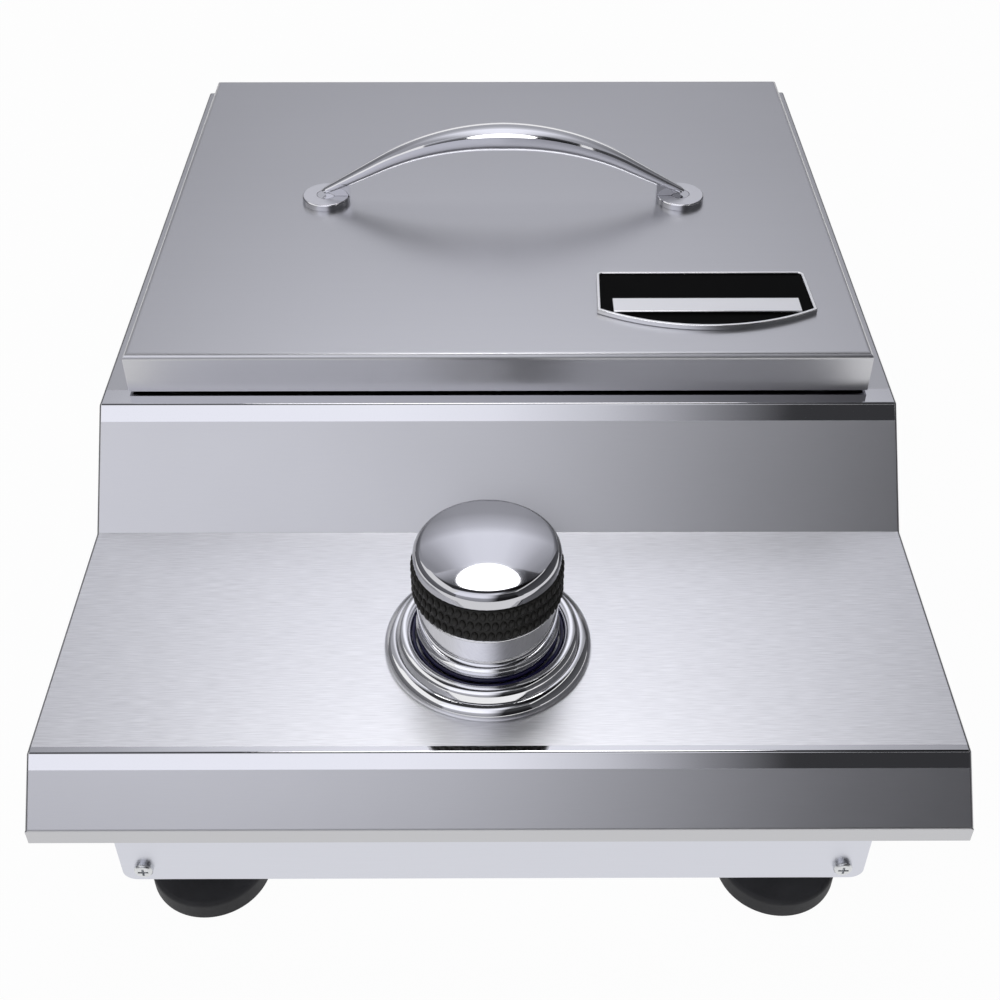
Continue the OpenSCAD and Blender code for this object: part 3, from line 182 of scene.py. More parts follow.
def floor_material():
    material, tree, shader = start_material("studio_floor")
    shader.inputs["Base Color"].default_value = (0.9, 0.9, 0.9, 1)
    shader.inputs["Roughness"].default_value = 0.9
    glow = add_node(tree, "ShaderNodeEmission", {"Color": (1, 1, 1, 1), "Strength": 1.0})
    path = add_node(tree, "ShaderNodeLightPath")
    seen = math_node(tree, "MAXIMUM", path.outputs["Is Camera Ray"], path.outputs["Is Glossy Ray"])
    seen = math_node(tree, "MAXIMUM", seen, path.outputs["Is Transmission Ray"])
    share = math_node(tree, "MULTIPLY", seen, FLOOR_GLOW)
    mixed = add_node(tree, "ShaderNodeMixShader", {0: share, 1: shader.outputs[0], 2: glow.outputs[0]})
    tree.links.new(mixed.outputs[0], tree.nodes["Material Output"].inputs["Surface"])
    return material


stage_plane("floor", FLOOR_SIZE, FLOOR_SIZE, (0, 0, 0), (0, 0, 0), floor_material())

world = bpy.data.worlds.new("studio")
world.use_nodes = True
bpy.context.scene.world = world
sky_tree = world.node_tree
rays = add_node(sky_tree, "ShaderNodeLightPath").outputs
sky_seen = math_node(sky_tree, "MAXIMUM", rays["Is Camera Ray"], rays["Is Glossy Ray"])
sky_seen = math_node(sky_tree, "MAXIMUM", sky_seen, rays["Is Transmission Ray"])
sky_level = math_node(sky_tree, "MULTIPLY_ADD", sky_seen, SKY_SEEN - SKY_LIGHT, SKY_LIGHT)
sky_tree.links.new(sky_level, sky_tree.nodes["Background"].inputs["Strength"])
sky_tree.nodes["Background"].inputs["Color"].default_value = (1, 1, 1, 1)
bpy.context.scene.view_settings.view_transform = "Standard"
print("floor and sky ready")

# %% [markdown]
# Polished metal shows its surroundings more than itself, so the studio is part of the finish. In
# the photograph the steps of the hood go from white on the left to dark on the right, and the flat
# tops are grey with a soft glow. Large glowing cards, hidden from the camera, give this. A level is
# a card's light, and it changes along the card, since an even card shows as one hard patch.

# %% Levels of the studio cards
COLD = (1.0, 1.01, 1.09)
NEUTRAL = (1.0, 1.0, 1.0)
BACK_LEVELS = [(0.0, 0.39), (0.06, 0.42), (0.22, 0.46), (0.27, 0.57), (0.36, 0.77), (0.44, 1.1), (1.0, 1.07)]
BACK_SIDES = [(0.0, 1.0), (0.26, 0.97), (0.52, 0.77), (0.74, 0.52), (1.0, 0.35)]
BACK_REACH = 1.6
FRONT_LEVELS = [(0.0, 1.157), (0.397, 1.165), (0.5, 1.07), (0.607, 0.76), (0.71, 0.32), (0.795, 0.048),
                (1.0, 0.045)]
FRONT_RISE = [(0.0, 0.3), (0.3, 0.42), (0.34, 0.6), (0.38, 1.0), (1.0, 1.0)]
FRONT_REACH = 1.5
FRONT_SPREAD, FRONT_NARROWING = 1.28, -0.29
CEILING_LEVELS = [(0.0, 1.0), (0.2, 1.0), (0.32, 0.04), (0.7, 0.04), (0.85, 0.2), (1.0, 0.66)]
CEILING_SIDES = [(0.0, 1.0), (0.64, 1.0), (0.76, 0.15), (1.0, 0.1)]
RIGHT_LEVELS = [(0.0, 0.1), (1.0, 0.05)]
LEFT_LEVELS = [(0.0, 0.12), (1.0, 0.2)]


def ramp(tree, value, low, high, stops, tint=COLD):
    """Turns a value into a colour by stops, each a place from 0 to 1 and the level there."""
    share = add_node(tree, "ShaderNodeMapRange", {"Value": value, "From Min": low, "From Max": high})
    made = add_node(tree, "ShaderNodeValToRGB", {0: share.outputs[0]})
    band = made.color_ramp
    while len(band.elements) < len(stops):
        band.elements.new(0.5)
    for element, (place, level) in zip(band.elements, stops):
        element.position = place
        element.color = (*(level * part for part in tint), 1)
    return made.outputs["Color"]


print("card levels ready")

# %% [markdown]
# The colour of a large card is a product of two ramps, one up the card and one across it, so a few
# stops describe a whole soft pattern. The front card's ramp also widens with height, because the
# hood's two sloping faces look at different heights of the card and don't darken at the same place.
# A painted picture could show the same, but its values would be harder to find again and change.


# %% Colours of the cards
def back_colour(tree, x, y, half_w, half_h):
    away = math_node(tree, "ABSOLUTE", x)
    return multiply_colour(tree, ramp(tree, y, -half_h, half_h, BACK_LEVELS),
                           ramp(tree, away, 0, BACK_REACH, BACK_SIDES, NEUTRAL))


def front_colour(tree, x, y, half_w, half_h):
    spread = math_node(tree, "MULTIPLY_ADD", y, FRONT_NARROWING, FRONT_SPREAD)
    across = math_node(tree, "MULTIPLY", x, spread)
    return multiply_colour(tree, ramp(tree, across, -FRONT_REACH, FRONT_REACH, FRONT_LEVELS),
                           ramp(tree, y, -half_h, half_h, FRONT_RISE, NEUTRAL))


def ceiling_colour(tree, x, y, half_w, half_h):
    return multiply_colour(tree, ramp(tree, y, -half_h, half_h, CEILING_LEVELS),
                           ramp(tree, x, -half_w, half_w, CEILING_SIDES, NEUTRAL))


def right_colour(tree, x, y, half_w, half_h):
    return ramp(tree, y, -half_h, half_h, RIGHT_LEVELS)


def left_colour(tree, x, y, half_w, half_h):
    return ramp(tree, y, -half_h, half_h, LEFT_LEVELS)


print("card colours ready")

# %% [markdown]
# The back card lights the flat tops, the front card the sloping faces, and the ceiling the round
# edges, while dark cards at the sides keep the walls grey. A card's light comes from its material.
# Lamps would light the metal too, but they show in it only as small spots, and one is enough for
# the white highlight on the knob and the bow.

# %% Studio cards and lamp
UPRIGHT = math.pi / 2
CARDS = {
    "back_card": (7, 4.1, (0, 2.2, 2.3), (UPRIGHT, 0, 0), back_colour),
    "front_card": (5, 4.1, (0, -2.3, 2.05), (UPRIGHT, 0, 0), front_colour),
    "right_card": (4, 2.6, (1.9, -0.4, 1.5), (UPRIGHT, 0, UPRIGHT), right_colour),
    "left_card": (4, 1.3, (-1.9, -0.2, 0.65), (UPRIGHT, 0, -UPRIGHT), left_colour),
    "ceiling_card": (5, 4.5, (0, -0.05, 4.36), (0, 0, 0), ceiling_colour),
}
LAMP_SIZE = (0.92, 0.6)
LAMP_POWER = 5.4
LAMP_PLACE = Vector((0, 0.59, 2.0))
LAMP_TARGET = Vector((0, 0, 0.1))


def card_material(name, width, height, build):
    material = bpy.data.materials.new(name)
    material.use_nodes = True
    tree = material.node_tree
    tree.nodes.remove(tree.nodes["Principled BSDF"])
    object_place = add_node(tree, "ShaderNodeTexCoord").outputs["Object"]
    place = add_node(tree, "ShaderNodeSeparateXYZ", {0: object_place}).outputs
    colour = build(tree, place["X"], place["Y"], width / 2, height / 2)
    glow = add_node(tree, "ShaderNodeEmission", {"Color": colour, "Strength": 1.0})
    tree.links.new(glow.outputs[0], tree.nodes["Material Output"].inputs["Surface"])
    return material


for name, (width, height, place, turn, build) in CARDS.items():
    card = stage_plane(name, width, height, place, turn, card_material(name, width, height, build))
    card.visible_camera = False
    card.visible_shadow = False

lamp = bpy.data.lights.new("overhead_box", "AREA")
lamp.shape = "ELLIPSE"
lamp.size, lamp.size_y = LAMP_SIZE
lamp.energy = LAMP_POWER
lamp_object = bpy.data.objects.new("overhead_box", lamp)
lamp_object.location = LAMP_PLACE
lamp_object.rotation_euler = (LAMP_TARGET - LAMP_PLACE).to_track_quat("-Z", "Y").to_euler()
bpy.context.scene.collection.objects.link(lamp_object)
print("cards ready:", len(CARDS), "and one lamp")

# %% [markdown]
# Grain is the fine parallel scratching that a belt sander leaves on sheet: noise stretched far along
# one direction. A photograph of steel could be pasted on instead, but it would blur close up. The
# effect is a node group, built once and placed in each brushed material with its own values.


# %% Brushed grain
def start_group(name, inputs, outputs):
    group = bpy.data.node_groups.new(name, "ShaderNodeTree")
    for label, value in inputs.items():
        socket = group.interface.new_socket(label, in_out="INPUT", socket_type="NodeSocketFloat")
        socket.default_value = value
    for label in outputs:
        group.interface.new_socket(label, in_out="OUTPUT", socket_type="NodeSocketFloat")
    return group, group.nodes.new("NodeGroupInput"), group.nodes.new("NodeGroupOutput")


def stretched_noise(tree, place, scales, detail):
    scale = add_node(tree, "ShaderNodeCombineXYZ", {0: scales[0], 1: scales[1], 2: scales[2]})
    drawn = add_node(tree, "ShaderNodeVectorMath", {0: place, 1: scale.outputs[0]}, operation="MULTIPLY")
    return add_node(tree, "ShaderNodeTexNoise",
                    {"Vector": drawn.outputs[0], "Scale": 1.0, "Detail": detail}).outputs[0]


SIDEWAYS = 0.7


def build_grain():
    """Grain along X, or along Y on the faces that look sideways."""
    group, given, out = start_group("brushed_grain", {"Along": 12.0, "Across": 3200.0}, ["Grain", "Side"])
    place = add_node(group, "ShaderNodeTexCoord")
    along, across = given.outputs["Along"], given.outputs["Across"]
    across_x = stretched_noise(group, place.outputs["Object"], (along, across, across), 3.0)
    across_y = stretched_noise(group, place.outputs["Object"], (across, along, across), 3.0)
    facing = add_node(group, "ShaderNodeSeparateXYZ", {0: place.outputs["Normal"]})
    side = math_node(group, "GREATER_THAN", math_node(group, "ABSOLUTE", facing.outputs["X"]), SIDEWAYS)
    mixed = add_node(group, "ShaderNodeMix", {0: side, 2: across_x, 3: across_y}, data_type="FLOAT")
    group.links.new(mixed.outputs[0], out.inputs["Grain"])
    group.links.new(side, out.inputs["Side"])
    return group


grain_group = build_grain()
print("grain ready")

# %% [markdown]
# Smudges are the slow changes that wiping and handling leave on any surface. A soft noise gives a
# mask for them, which most finishes use to shift their roughness or shade. Painted stains would have
# to be placed on each piece by hand, while the noise covers them all with one small group.


# %% Smudges
def build_smudge():
    group, given, out = start_group("smudge", {"Size": 14.0, "Low": 0.35, "High": 0.7}, ["Mask"])
    place = add_node(group, "ShaderNodeTexCoord")
    cloud = add_node(group, "ShaderNodeTexNoise",
                     {"Vector": place.outputs["Object"], "Scale": given.outputs["Size"], "Detail": 5.0})
    mask = add_node(group, "ShaderNodeMapRange",
                    {"Value": cloud.outputs[0], "From Min": given.outputs["Low"],
                     "From Max": given.outputs["High"]})
    group.links.new(mask.outputs[0], out.inputs["Mask"])
    return group


smudge_group = build_smudge()


def use_group(tree, group, **values):
    made = tree.nodes.new("ShaderNodeGroup")
    made.node_tree = group
    for key, value in values.items():
        made.inputs[key].default_value = value
    return made


print("smudges ready")

# %% [markdown]
# Brushed stainless is a metal whose fine scratches run one way, so highlights spread across them.
# The grain drives the colour a little, the roughness more, and a very shallow bump. A pure mirror
# with one fixed roughness would look like plastic foil, because real steel is never even.

# %% Brushed steel
GRAIN_LOW, GRAIN_HIGH = 0.25, 0.75
SMUDGE_ROUGH = 0.02


def mapped(tree, value, low, high):
    """Stretches the usual range of a noise to the range given."""
    values = {"Value": value, "From Min": GRAIN_LOW, "From Max": GRAIN_HIGH, "To Min": low, "To Max": high}
    return add_node(tree, "ShaderNodeMapRange", values).outputs[0]


def set_metal(shader, colour):
    shader.inputs["Metallic"].default_value = 1.0
    shader.inputs["Base Color"].default_value = (*colour, 1)


def brushed_metal(name, colour, roughness, swing=0.015, shade_swing=0.012, relief=0.002 * MM,
                  along=12.0, across=3200.0, zones=None):
    """A brushed finish. The function zones, if given, changes its shade, roughness and relief by place."""
    material, tree, shader = start_material(name)
    set_metal(shader, colour)
    grain = use_group(tree, grain_group, Along=along, Across=across).outputs
    smudge = use_group(tree, smudge_group).outputs
    dark = tuple((1 - shade_swing) * c for c in colour) + (1,)
    light = tuple(min(1, (1 + shade_swing) * c) for c in colour) + (1,)
    shade = mix_colour(tree, mapped(tree, grain["Grain"], 0, 1), dark, light)
    rough = mapped(tree, grain["Grain"], roughness - swing, roughness + swing)
    rough = math_node(tree, "MULTIPLY_ADD", smudge["Mask"], SMUDGE_ROUGH, rough)
    height = grain["Grain"]
    if zones:
        shade, rough, height = zones(tree, grain, shade, rough, height)
    bump = add_node(tree, "ShaderNodeBump", {"Strength": 1.0, "Distance": relief, "Height": height})
    tree.links.new(shade, shader.inputs["Base Color"])
    tree.links.new(rough, shader.inputs["Roughness"])
    tree.links.new(bump.outputs[0], shader.inputs["Normal"])
    return material


lid_steel = brushed_metal("lid_steel", (0.61, 0.61, 0.63), 0.3)
chassis_steel = brushed_metal("chassis_steel", (0.68, 0.69, 0.75), 0.33, along=30.0, across=1600.0)
bowl_steel = brushed_metal("bowl_steel", (0.66, 0.66, 0.68), 0.3)
rod_steel = brushed_metal("rod_steel", (0.5, 0.5, 0.52), 0.35, swing=0.08, shade_swing=0.1,
                          relief=0.01 * MM, along=400.0, across=900.0)
print("brushed steels ready")

# %% [markdown]
# The hood wears several finishes on one sheet. Beside each long bend it was left mirror polished in crisp
# strips, and the shelf is brushed brighter than the rest. The small bends along the side walls get painted
# shade: a darker colour that stands in for the dark surroundings they reflect. Cutting the sheet into pieces
# for them would show seams, so one material picks by place.

# %% Zones of the hood
SLANT_DROP = 19 * MM
SHELF_DEPTH = 114 * MM
RISER_DEPTH = 37.8 * MM
SHELF_STRIP = 2.9 * MM
FACE_STRIP = 4.1 * MM
DECK_STRIP = 9.8 * MM
RISER_STRIP = 5.2 * MM
shelf_front_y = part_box("hood")[0].y + SLANT_DROP
deck_front_y = shelf_front_y + SHELF_DEPTH + RISER_DEPTH
polished_strips = [(shelf_front_y - FACE_STRIP, shelf_front_y + SHELF_STRIP),
                   (deck_front_y - RISER_STRIP, deck_front_y + DECK_STRIP)]
shelf_zone = (shelf_front_y + SHELF_STRIP, shelf_front_y + SHELF_DEPTH)
BEND_LEAN, BEND_LEAN_REACH = 0.6, 0.37


def strip_mask(tree, strips, side):
    """One where the place along the hood lies in a strip, on faces that don't look sideways."""
    place = add_node(tree, "ShaderNodeTexCoord")
    along = add_node(tree, "ShaderNodeSeparateXYZ", {0: place.outputs["Object"]}).outputs["Y"]
    total = None
    for low, high in strips:
        inside = math_node(tree, "MULTIPLY", math_node(tree, "GREATER_THAN", along, low),
                           math_node(tree, "LESS_THAN", along, high))
        total = inside if total is None else math_node(tree, "MAXIMUM", total, inside)
    return math_node(tree, "MULTIPLY", total, math_node(tree, "SUBTRACT", 1.0, side))


def side_bend_shade_mask(tree):
    """One on the bends to the side walls, whose normal leans partly sideways; these bends get painted shade.
    """
    turned = add_node(tree, "ShaderNodeTexCoord").outputs["Normal"]
    lean = math_node(tree, "ABSOLUTE", add_node(tree, "ShaderNodeSeparateXYZ", {0: turned}).outputs["X"])
    return math_node(tree, "COMPARE", lean, BEND_LEAN, BEND_LEAN_REACH)


print("polished strips in mm:", [(round(a / MM, 1), round(b / MM, 1)) for a, b in polished_strips])

# %% [markdown]
# The hood's steel is the brushed steel with its zones laid over it: the shelf lighter and with stronger
# marks, the strips polished and without relief, and painted shade darkening the side bends. The zones are
# handed to the common brushed finish as a function, so the grain is built the same way everywhere.

# %% Hood finish
HOOD_POLISHED = (0.68, 0.68, 0.7)
HOOD_SATIN = tuple(0.84 * c for c in HOOD_POLISHED)
# Painted shade: the side bends get half the polished colour, standing in for the dark they reflect.
HOOD_BEND_SHADE = tuple(0.5 * c for c in HOOD_POLISHED)
POLISHED_ROUGH = 0.05
SHELF_ROUGH_ADDED = 0.03
SHELF_BRIGHTER = (1.22, 1.53)


def hood_zones(tree, grain, shade, rough, height):
    shelf = strip_mask(tree, [shelf_zone], grain["Side"])
    rough = math_node(tree, "MULTIPLY_ADD", shelf, SHELF_ROUGH_ADDED, rough)
    marks = mapped(tree, grain["Grain"], *SHELF_BRIGHTER)
    marked = add_node(tree, "ShaderNodeVectorMath", {0: shade, 1: marks}, operation="MULTIPLY")
    shade = mix_colour(tree, shelf, shade, marked.outputs[0])
    polished = strip_mask(tree, polished_strips, grain["Side"])
    shade = mix_colour(tree, polished, shade, (*HOOD_POLISHED, 1))
    rough = add_node(tree, "ShaderNodeMix", {0: polished, 2: rough, 3: POLISHED_ROUGH},
                     data_type="FLOAT").outputs[0]
    height = math_node(tree, "MULTIPLY", height, math_node(tree, "SUBTRACT", 1.0, polished))
    # Last, the side bends are mixed to the painted shade colour.
    return mix_colour(tree, side_bend_shade_mask(tree), shade, (*HOOD_BEND_SHADE, 1)), rough, height


hood_steel = brushed_metal("hood_steel", HOOD_SATIN, 0.33, along=120.0, zones=hood_zones)
print("hood finish ready")

# %% [markdown]
# The knob, bezel, bow and badge are chrome plated, and the small fittings are zinc or brass. All are
# plain metals, so a smooth change of roughness is all the detail they need. Two of them are satin
# on top and polished on their walls, which the material reads from the way a face looks.

# %% Plated and plain metals
SATIN_LOOKS_UP = 0.97


def clean_metal(name, colour, roughness, swing=0.03, size=20.0):
    material, tree, shader = start_material(name)
    set_metal(shader, colour)
    smudge = use_group(tree, smudge_group, Size=size)
    rough = math_node(tree, "MULTIPLY_ADD", smudge.outputs["Mask"], swing, roughness)
    tree.links.new(rough, shader.inputs["Roughness"])
    return material


def two_faced(name, colour, polished, satin):
    """Satin on the faces that look up, polished on the walls."""
    material, tree, shader = start_material(name)
    set_metal(shader, colour)
    turned = add_node(tree, "ShaderNodeTexCoord").outputs["Normal"]
    facing = add_node(tree, "ShaderNodeSeparateXYZ", {0: turned})
    up = math_node(tree, "GREATER_THAN", facing.outputs["Z"], SATIN_LOOKS_UP)
    rough = math_node(tree, "MULTIPLY_ADD", up, satin - polished, polished)
    tree.links.new(rough, shader.inputs["Roughness"])
    return material


chrome = clean_metal("chrome", (0.83, 0.83, 0.85), 0.04)
cap_chrome = clean_metal("cap_chrome", (0.59, 0.59, 0.62), 0.04)
bow_chrome = clean_metal("bow_chrome", (0.76, 0.76, 0.79), 0.05)
base_chrome = two_faced("base_chrome", (0.74, 0.74, 0.77), 0.08, 0.42)
badge_chrome = two_faced("badge_chrome", (0.9, 0.9, 0.91), 0.06, 0.45)
zinc = clean_metal("zinc", (0.7, 0.71, 0.72), 0.28, swing=0.1, size=60.0)
brass = clean_metal("brass", (0.72, 0.56, 0.28), 0.22, swing=0.14, size=45.0)
print("plated and plain metals ready")

# %% [markdown]
# Castings, rubber, glaze and enamel are not polished, so their surfaces need relief of their own.
# A noise bump gives the sand-cast burner its rough skin and the rubber its moulded dullness. Small
# real relief could be modelled, but at this scale a bump reads the same and costs nothing.


# %% Rough and coated finishes
SMUDGE_COARSER = 12
SHADE_SWING = 0.2
ROUGH_SWING = 0.06


def coated(name, colour, roughness, size, relief, metallic=0.0, coat=0.0, gloss=0.5):
    material, tree, shader = start_material(name)
    shader.inputs["Specular IOR Level"].default_value = gloss
    shader.inputs["Metallic"].default_value = metallic
    shader.inputs["Coat Weight"].default_value = coat
    smudge = use_group(tree, smudge_group, Size=size / SMUDGE_COARSER)
    place = add_node(tree, "ShaderNodeTexCoord")
    skin = add_node(tree, "ShaderNodeTexNoise",
                    {"Vector": place.outputs["Object"], "Scale": size, "Detail": 4.0})
    dark = tuple((1 - SHADE_SWING) * c for c in colour) + (1,)
    light = tuple(min(1, (1 + SHADE_SWING) * c) for c in colour) + (1,)
    tree.links.new(mix_colour(tree, smudge.outputs["Mask"], dark, light), shader.inputs["Base Color"])
    rough = math_node(tree, "MULTIPLY_ADD", skin.outputs[0], 2 * ROUGH_SWING, roughness - ROUGH_SWING)
    bump = add_node(tree, "ShaderNodeBump", {"Strength": 1.0, "Distance": relief, "Height": skin.outputs[0]})
    tree.links.new(rough, shader.inputs["Roughness"])
    tree.links.new(bump.outputs[0], shader.inputs["Normal"])
    return material


cast_burner = coated("cast_burner", (0.42, 0.32, 0.17), 0.5, 500.0, 0.2 * MM, metallic=1.0)
foot_rubber = coated("foot_rubber", (0.036, 0.036, 0.038), 0.62, 700.0, 0.04 * MM, gloss=0.35)
grip_rubber = coated("grip_rubber", (0.015, 0.014, 0.012), 0.4, 900.0, 0.02 * MM, gloss=0.25)
glaze = coated("glaze", (0.88, 0.87, 0.83), 0.2, 200.0, 0.01 * MM, coat=0.5)
ring_plastic = coated("ring_plastic", (0.012, 0.01, 0.06), 0.3, 200.0, 0.01 * MM, gloss=0.3)
badge_enamel = coated("badge_enamel", (0.003, 0.003, 0.003), 0.4, 150.0, 0.01 * MM, gloss=0.02)
print("coated finishes ready")

# %% [markdown]
# New meshes all end the same way: doubles merged, normals made to point out, smooth shading with sharp
# creases kept, and then the piece is tied to its body, given its finish, and the nodes it stands for are
# hidden.
# Smooth shading would also bend the light on a wide sheet near its rounded edges, so the edges of
# wide faces stay sharp. One function does all this, so that no piece can forget a step.

# %% Ending a mesh
CREASE = math.radians(32)
WIDE_FACE = 300 * MM * MM
SAME_PLACE = 0.001 * MM
FACE_AREA_FIRST = 100


def keep_piece(bm, name, body, material, replaced=(), crease=CREASE):
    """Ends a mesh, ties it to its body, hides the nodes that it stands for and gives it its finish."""
    bmesh.ops.remove_doubles(bm, verts=bm.verts, dist=SAME_PLACE)
    bmesh.ops.recalc_face_normals(bm, faces=bm.faces)
    mesh = bpy.data.meshes.new(name)
    bm.to_mesh(mesh)
    bm.free()
    mesh.shade_smooth()
    mesh.set_sharp_from_angle(angle=crease)
    for face in mesh.polygons:
        if face.area > WIDE_FACE:
            for index in face.loop_indices:
                mesh.edges[mesh.loops[index].edge_index].use_edge_sharp = True
    piece = bpy.data.objects.new(name, mesh)
    flat = piece.modifiers.new("flat_faces", "WEIGHTED_NORMAL")
    flat.weight = FACE_AREA_FIRST
    flat.keep_sharp = True
    mesh.materials.append(material)
    bpy.context.scene.collection.objects.link(piece)
    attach(piece, body)
    if replaced:
        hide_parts(*replaced)
    print(f"{name}: {len(mesh.polygons)} faces")
    return piece


print("meshes get creases at", round(math.degrees(CREASE)), "degrees")

# %% [markdown]
# The knob, the bezel and the feet are round, as parts from a lathe are. One helper reads the middle
# of a node's box, for the axis. One gives the points of an arc, and one turns an outline of points
# about that axis. A modifier could turn it too, but the operator leaves a plain mesh, and several
# turned shapes can go into one.


# %% Turned shapes
def middle(node):
    low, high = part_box(node)
    return (low + high) / 2


def arc(r, z, radius, start, end, steps=8):
    """Gives points of radius and height on an arc, between two angles in degrees."""
    turns = [math.radians(start + (end - start) * i / steps) for i in range(steps + 1)]
    return [(r + radius * math.cos(t), z + radius * math.sin(t)) for t in turns]


def lathe(bm, outline, axis, steps=128, closed=True):
    """Turns an outline of radius and height once about an upright axis."""
    points = [bm.verts.new((axis[0] + r, axis[1], z)) for r, z in outline]
    edges = [bm.edges.new(pair) for pair in zip(points, points[1:])]
    if closed:
        edges.append(bm.edges.new((points[-1], points[0])))
    bmesh.ops.spin(bm, geom=points + edges, cent=(axis[0], axis[1], 0), axis=(0, 0, 1),
                   angle=2 * math.pi, steps=steps, use_merge=True)


print("arc and lathe ready")

# %% [markdown]
# The knob's cap is a shallow dome with a rounded edge. Turning an outline is how the real one is
# made too, and it gives a true round where a scaled ball would give a squashed one. The edge's arc
# ends where the dome's slope begins, so the highlight runs over both without a kink.

# %% Knob cap
knob_axis = (middle("knob_cap").x, middle("knob_cap").y)
cap_low, cap_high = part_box("knob_cap")
cap_r = (cap_high.x - cap_low.x) / 2
CAP_EDGE = 4.2 * MM
CAP_DOME = 2.9 * MM
CAP_RIM = 0.8 * MM
flat_r = cap_r - CAP_EDGE
edge_z = cap_high.z - CAP_DOME - CAP_EDGE
dome_r = (flat_r ** 2 + CAP_DOME ** 2) / (2 * CAP_DOME)
dome_turn = math.degrees(math.asin(flat_r / dome_r))
cap_outline = [(0, cap_low.z), (cap_r - CAP_RIM, cap_low.z)]
cap_outline += arc(cap_r - CAP_RIM, cap_low.z + CAP_RIM, CAP_RIM, -90, 0, 4)
cap_outline += arc(flat_r, edge_z, CAP_EDGE, 0, 90 - dome_turn, 12)
meet_z = edge_z + CAP_EDGE * math.cos(math.radians(dome_turn))
meet_r = flat_r + CAP_EDGE * math.sin(math.radians(dome_turn))
big_r = meet_r / math.sin(math.radians(dome_turn))
centre_z = meet_z - big_r * math.cos(math.radians(dome_turn))
cap_outline += arc(0, centre_z, big_r, 90 - dome_turn, 90, 14)[1:]
bm = bmesh.new()
lathe(bm, cap_outline, knob_axis, closed=False)
keep_piece(bm, "knob_cap_turned", "knob", cap_chrome, ("knob_cap",))

# %% [markdown]
# The knob's body is a hollow chrome casting: a skirt, a neck that widens upward, a lip, and a core
# that the grip is pushed over, with a hub inside for the stem. All its walls are in one outline,
# which goes up the outside and comes down the inside.

# %% Knob body
body_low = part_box("knob_body")[0]
grip_low, grip_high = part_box("knob_grip")
SKIRT_R = 26.6 * MM
SKIRT_ROUND = 0.5 * MM
SKIRT_LAND = 1.5 * MM
SKIRT_RISE = 6.6 * MM
NECK_R = 25.8 * MM
NECK_TOP_R = 26.2 * MM
NECK_STEP = 0.15 * MM
LIP_R = 26.6 * MM
LIP_ROUND = 0.6 * MM
LIP_DROP = 1.3 * MM
NECK_END = 0.4 * MM
CORE_R = 24.4 * MM
CORE_GAP = 0.05 * MM
BODY_WALL = 2.6 * MM
BODY_TOP = 3 * MM
HUB_BORE = 8 * MM
HUB_R = 10 * MM
HUB_LIFT = 1.5 * MM
neck_z = body_low.z + SKIRT_RISE
lip_z = grip_low.z - LIP_DROP
body_outline = [(SKIRT_R - SKIRT_LAND, body_low.z)]
body_outline += arc(SKIRT_R - SKIRT_ROUND, body_low.z + SKIRT_ROUND, SKIRT_ROUND, -90, 0, 4)
body_outline += arc(SKIRT_R - SKIRT_ROUND, neck_z - 2 * SKIRT_ROUND, SKIRT_ROUND, 0, 70, 4)
body_outline += [(NECK_R, neck_z), (NECK_R + NECK_STEP, neck_z + SKIRT_ROUND)]
body_outline += [(NECK_TOP_R, lip_z - NECK_END)]
body_outline += arc(LIP_R - LIP_ROUND, lip_z + SKIRT_ROUND, LIP_ROUND, -60, 80, 6)
body_outline += [(CORE_R, grip_low.z - CORE_GAP), (CORE_R, grip_high.z), (HUB_BORE, grip_high.z)]
body_outline += [(HUB_BORE, body_low.z + HUB_LIFT), (HUB_R, body_low.z + HUB_LIFT),
                 (HUB_R, grip_high.z - BODY_TOP), (CORE_R - BODY_WALL, grip_high.z - BODY_TOP),
                 (CORE_R - BODY_WALL, lip_z - BODY_WALL), (NECK_R - BODY_WALL, lip_z - BODY_WALL),
                 (NECK_R - BODY_WALL, body_low.z)]
bm = bmesh.new()
lathe(bm, body_outline, knob_axis)
keep_piece(bm, "knob_body_turned", "knob", chrome, ("knob_body",))

# %% [markdown]
# The grip is rubber with rows of staggered round studs that a finger can hold when greasy. Each
# stud is a small flattened ball set into the band, and a loop places them, since so many placed by
# hand would never be even. Few faces are enough for a stud that stands out under one millimetre.

# %% Knob grip
GRIP_R = 26.8 * MM
GRIP_ROUND = 0.6 * MM
GRIP_GAP = 0.15 * MM
STUD_OUT = 0.9 * MM
STUD_SHARE = 0.43
STUD_CREASE = math.radians(60)
STUD_COLUMNS = 58
STUD_ROWS = 3
stud_pitch = 2 * math.pi * GRIP_R / STUD_COLUMNS
grip_rise = grip_high.z - grip_low.z
bm = bmesh.new()
grip_outline = [(CORE_R + GRIP_GAP, grip_low.z), (GRIP_R - GRIP_ROUND, grip_low.z)]
grip_outline += arc(GRIP_R - GRIP_ROUND, grip_low.z + GRIP_ROUND, GRIP_ROUND, -90, 0, 3)[1:]
grip_outline += arc(GRIP_R - GRIP_ROUND, grip_high.z - GRIP_ROUND, GRIP_ROUND, 0, 90, 3)
grip_outline += [(CORE_R + GRIP_GAP, grip_high.z)]
lathe(bm, grip_outline, knob_axis, steps=2 * STUD_COLUMNS)
stud_size = Matrix.Diagonal((STUD_OUT, STUD_SHARE * stud_pitch, STUD_SHARE * grip_rise / STUD_ROWS, 1))
for row in range(STUD_ROWS):
    for column in range(STUD_COLUMNS):
        turn = 2 * math.pi * (column + row % 2 / 2) / STUD_COLUMNS
        height = grip_low.z + grip_rise * (row + 0.5) / STUD_ROWS
        place = (Matrix.Translation((*knob_axis, height)) @ Matrix.Rotation(turn, 4, "Z")
                 @ Matrix.Translation((GRIP_R, 0, 0)))
        bmesh.ops.create_uvsphere(bm, u_segments=10, v_segments=6, radius=1.0, matrix=place @ stud_size)
keep_piece(bm, "knob_grip_knurled", "knob", grip_rubber, ("knob_grip",), STUD_CREASE)

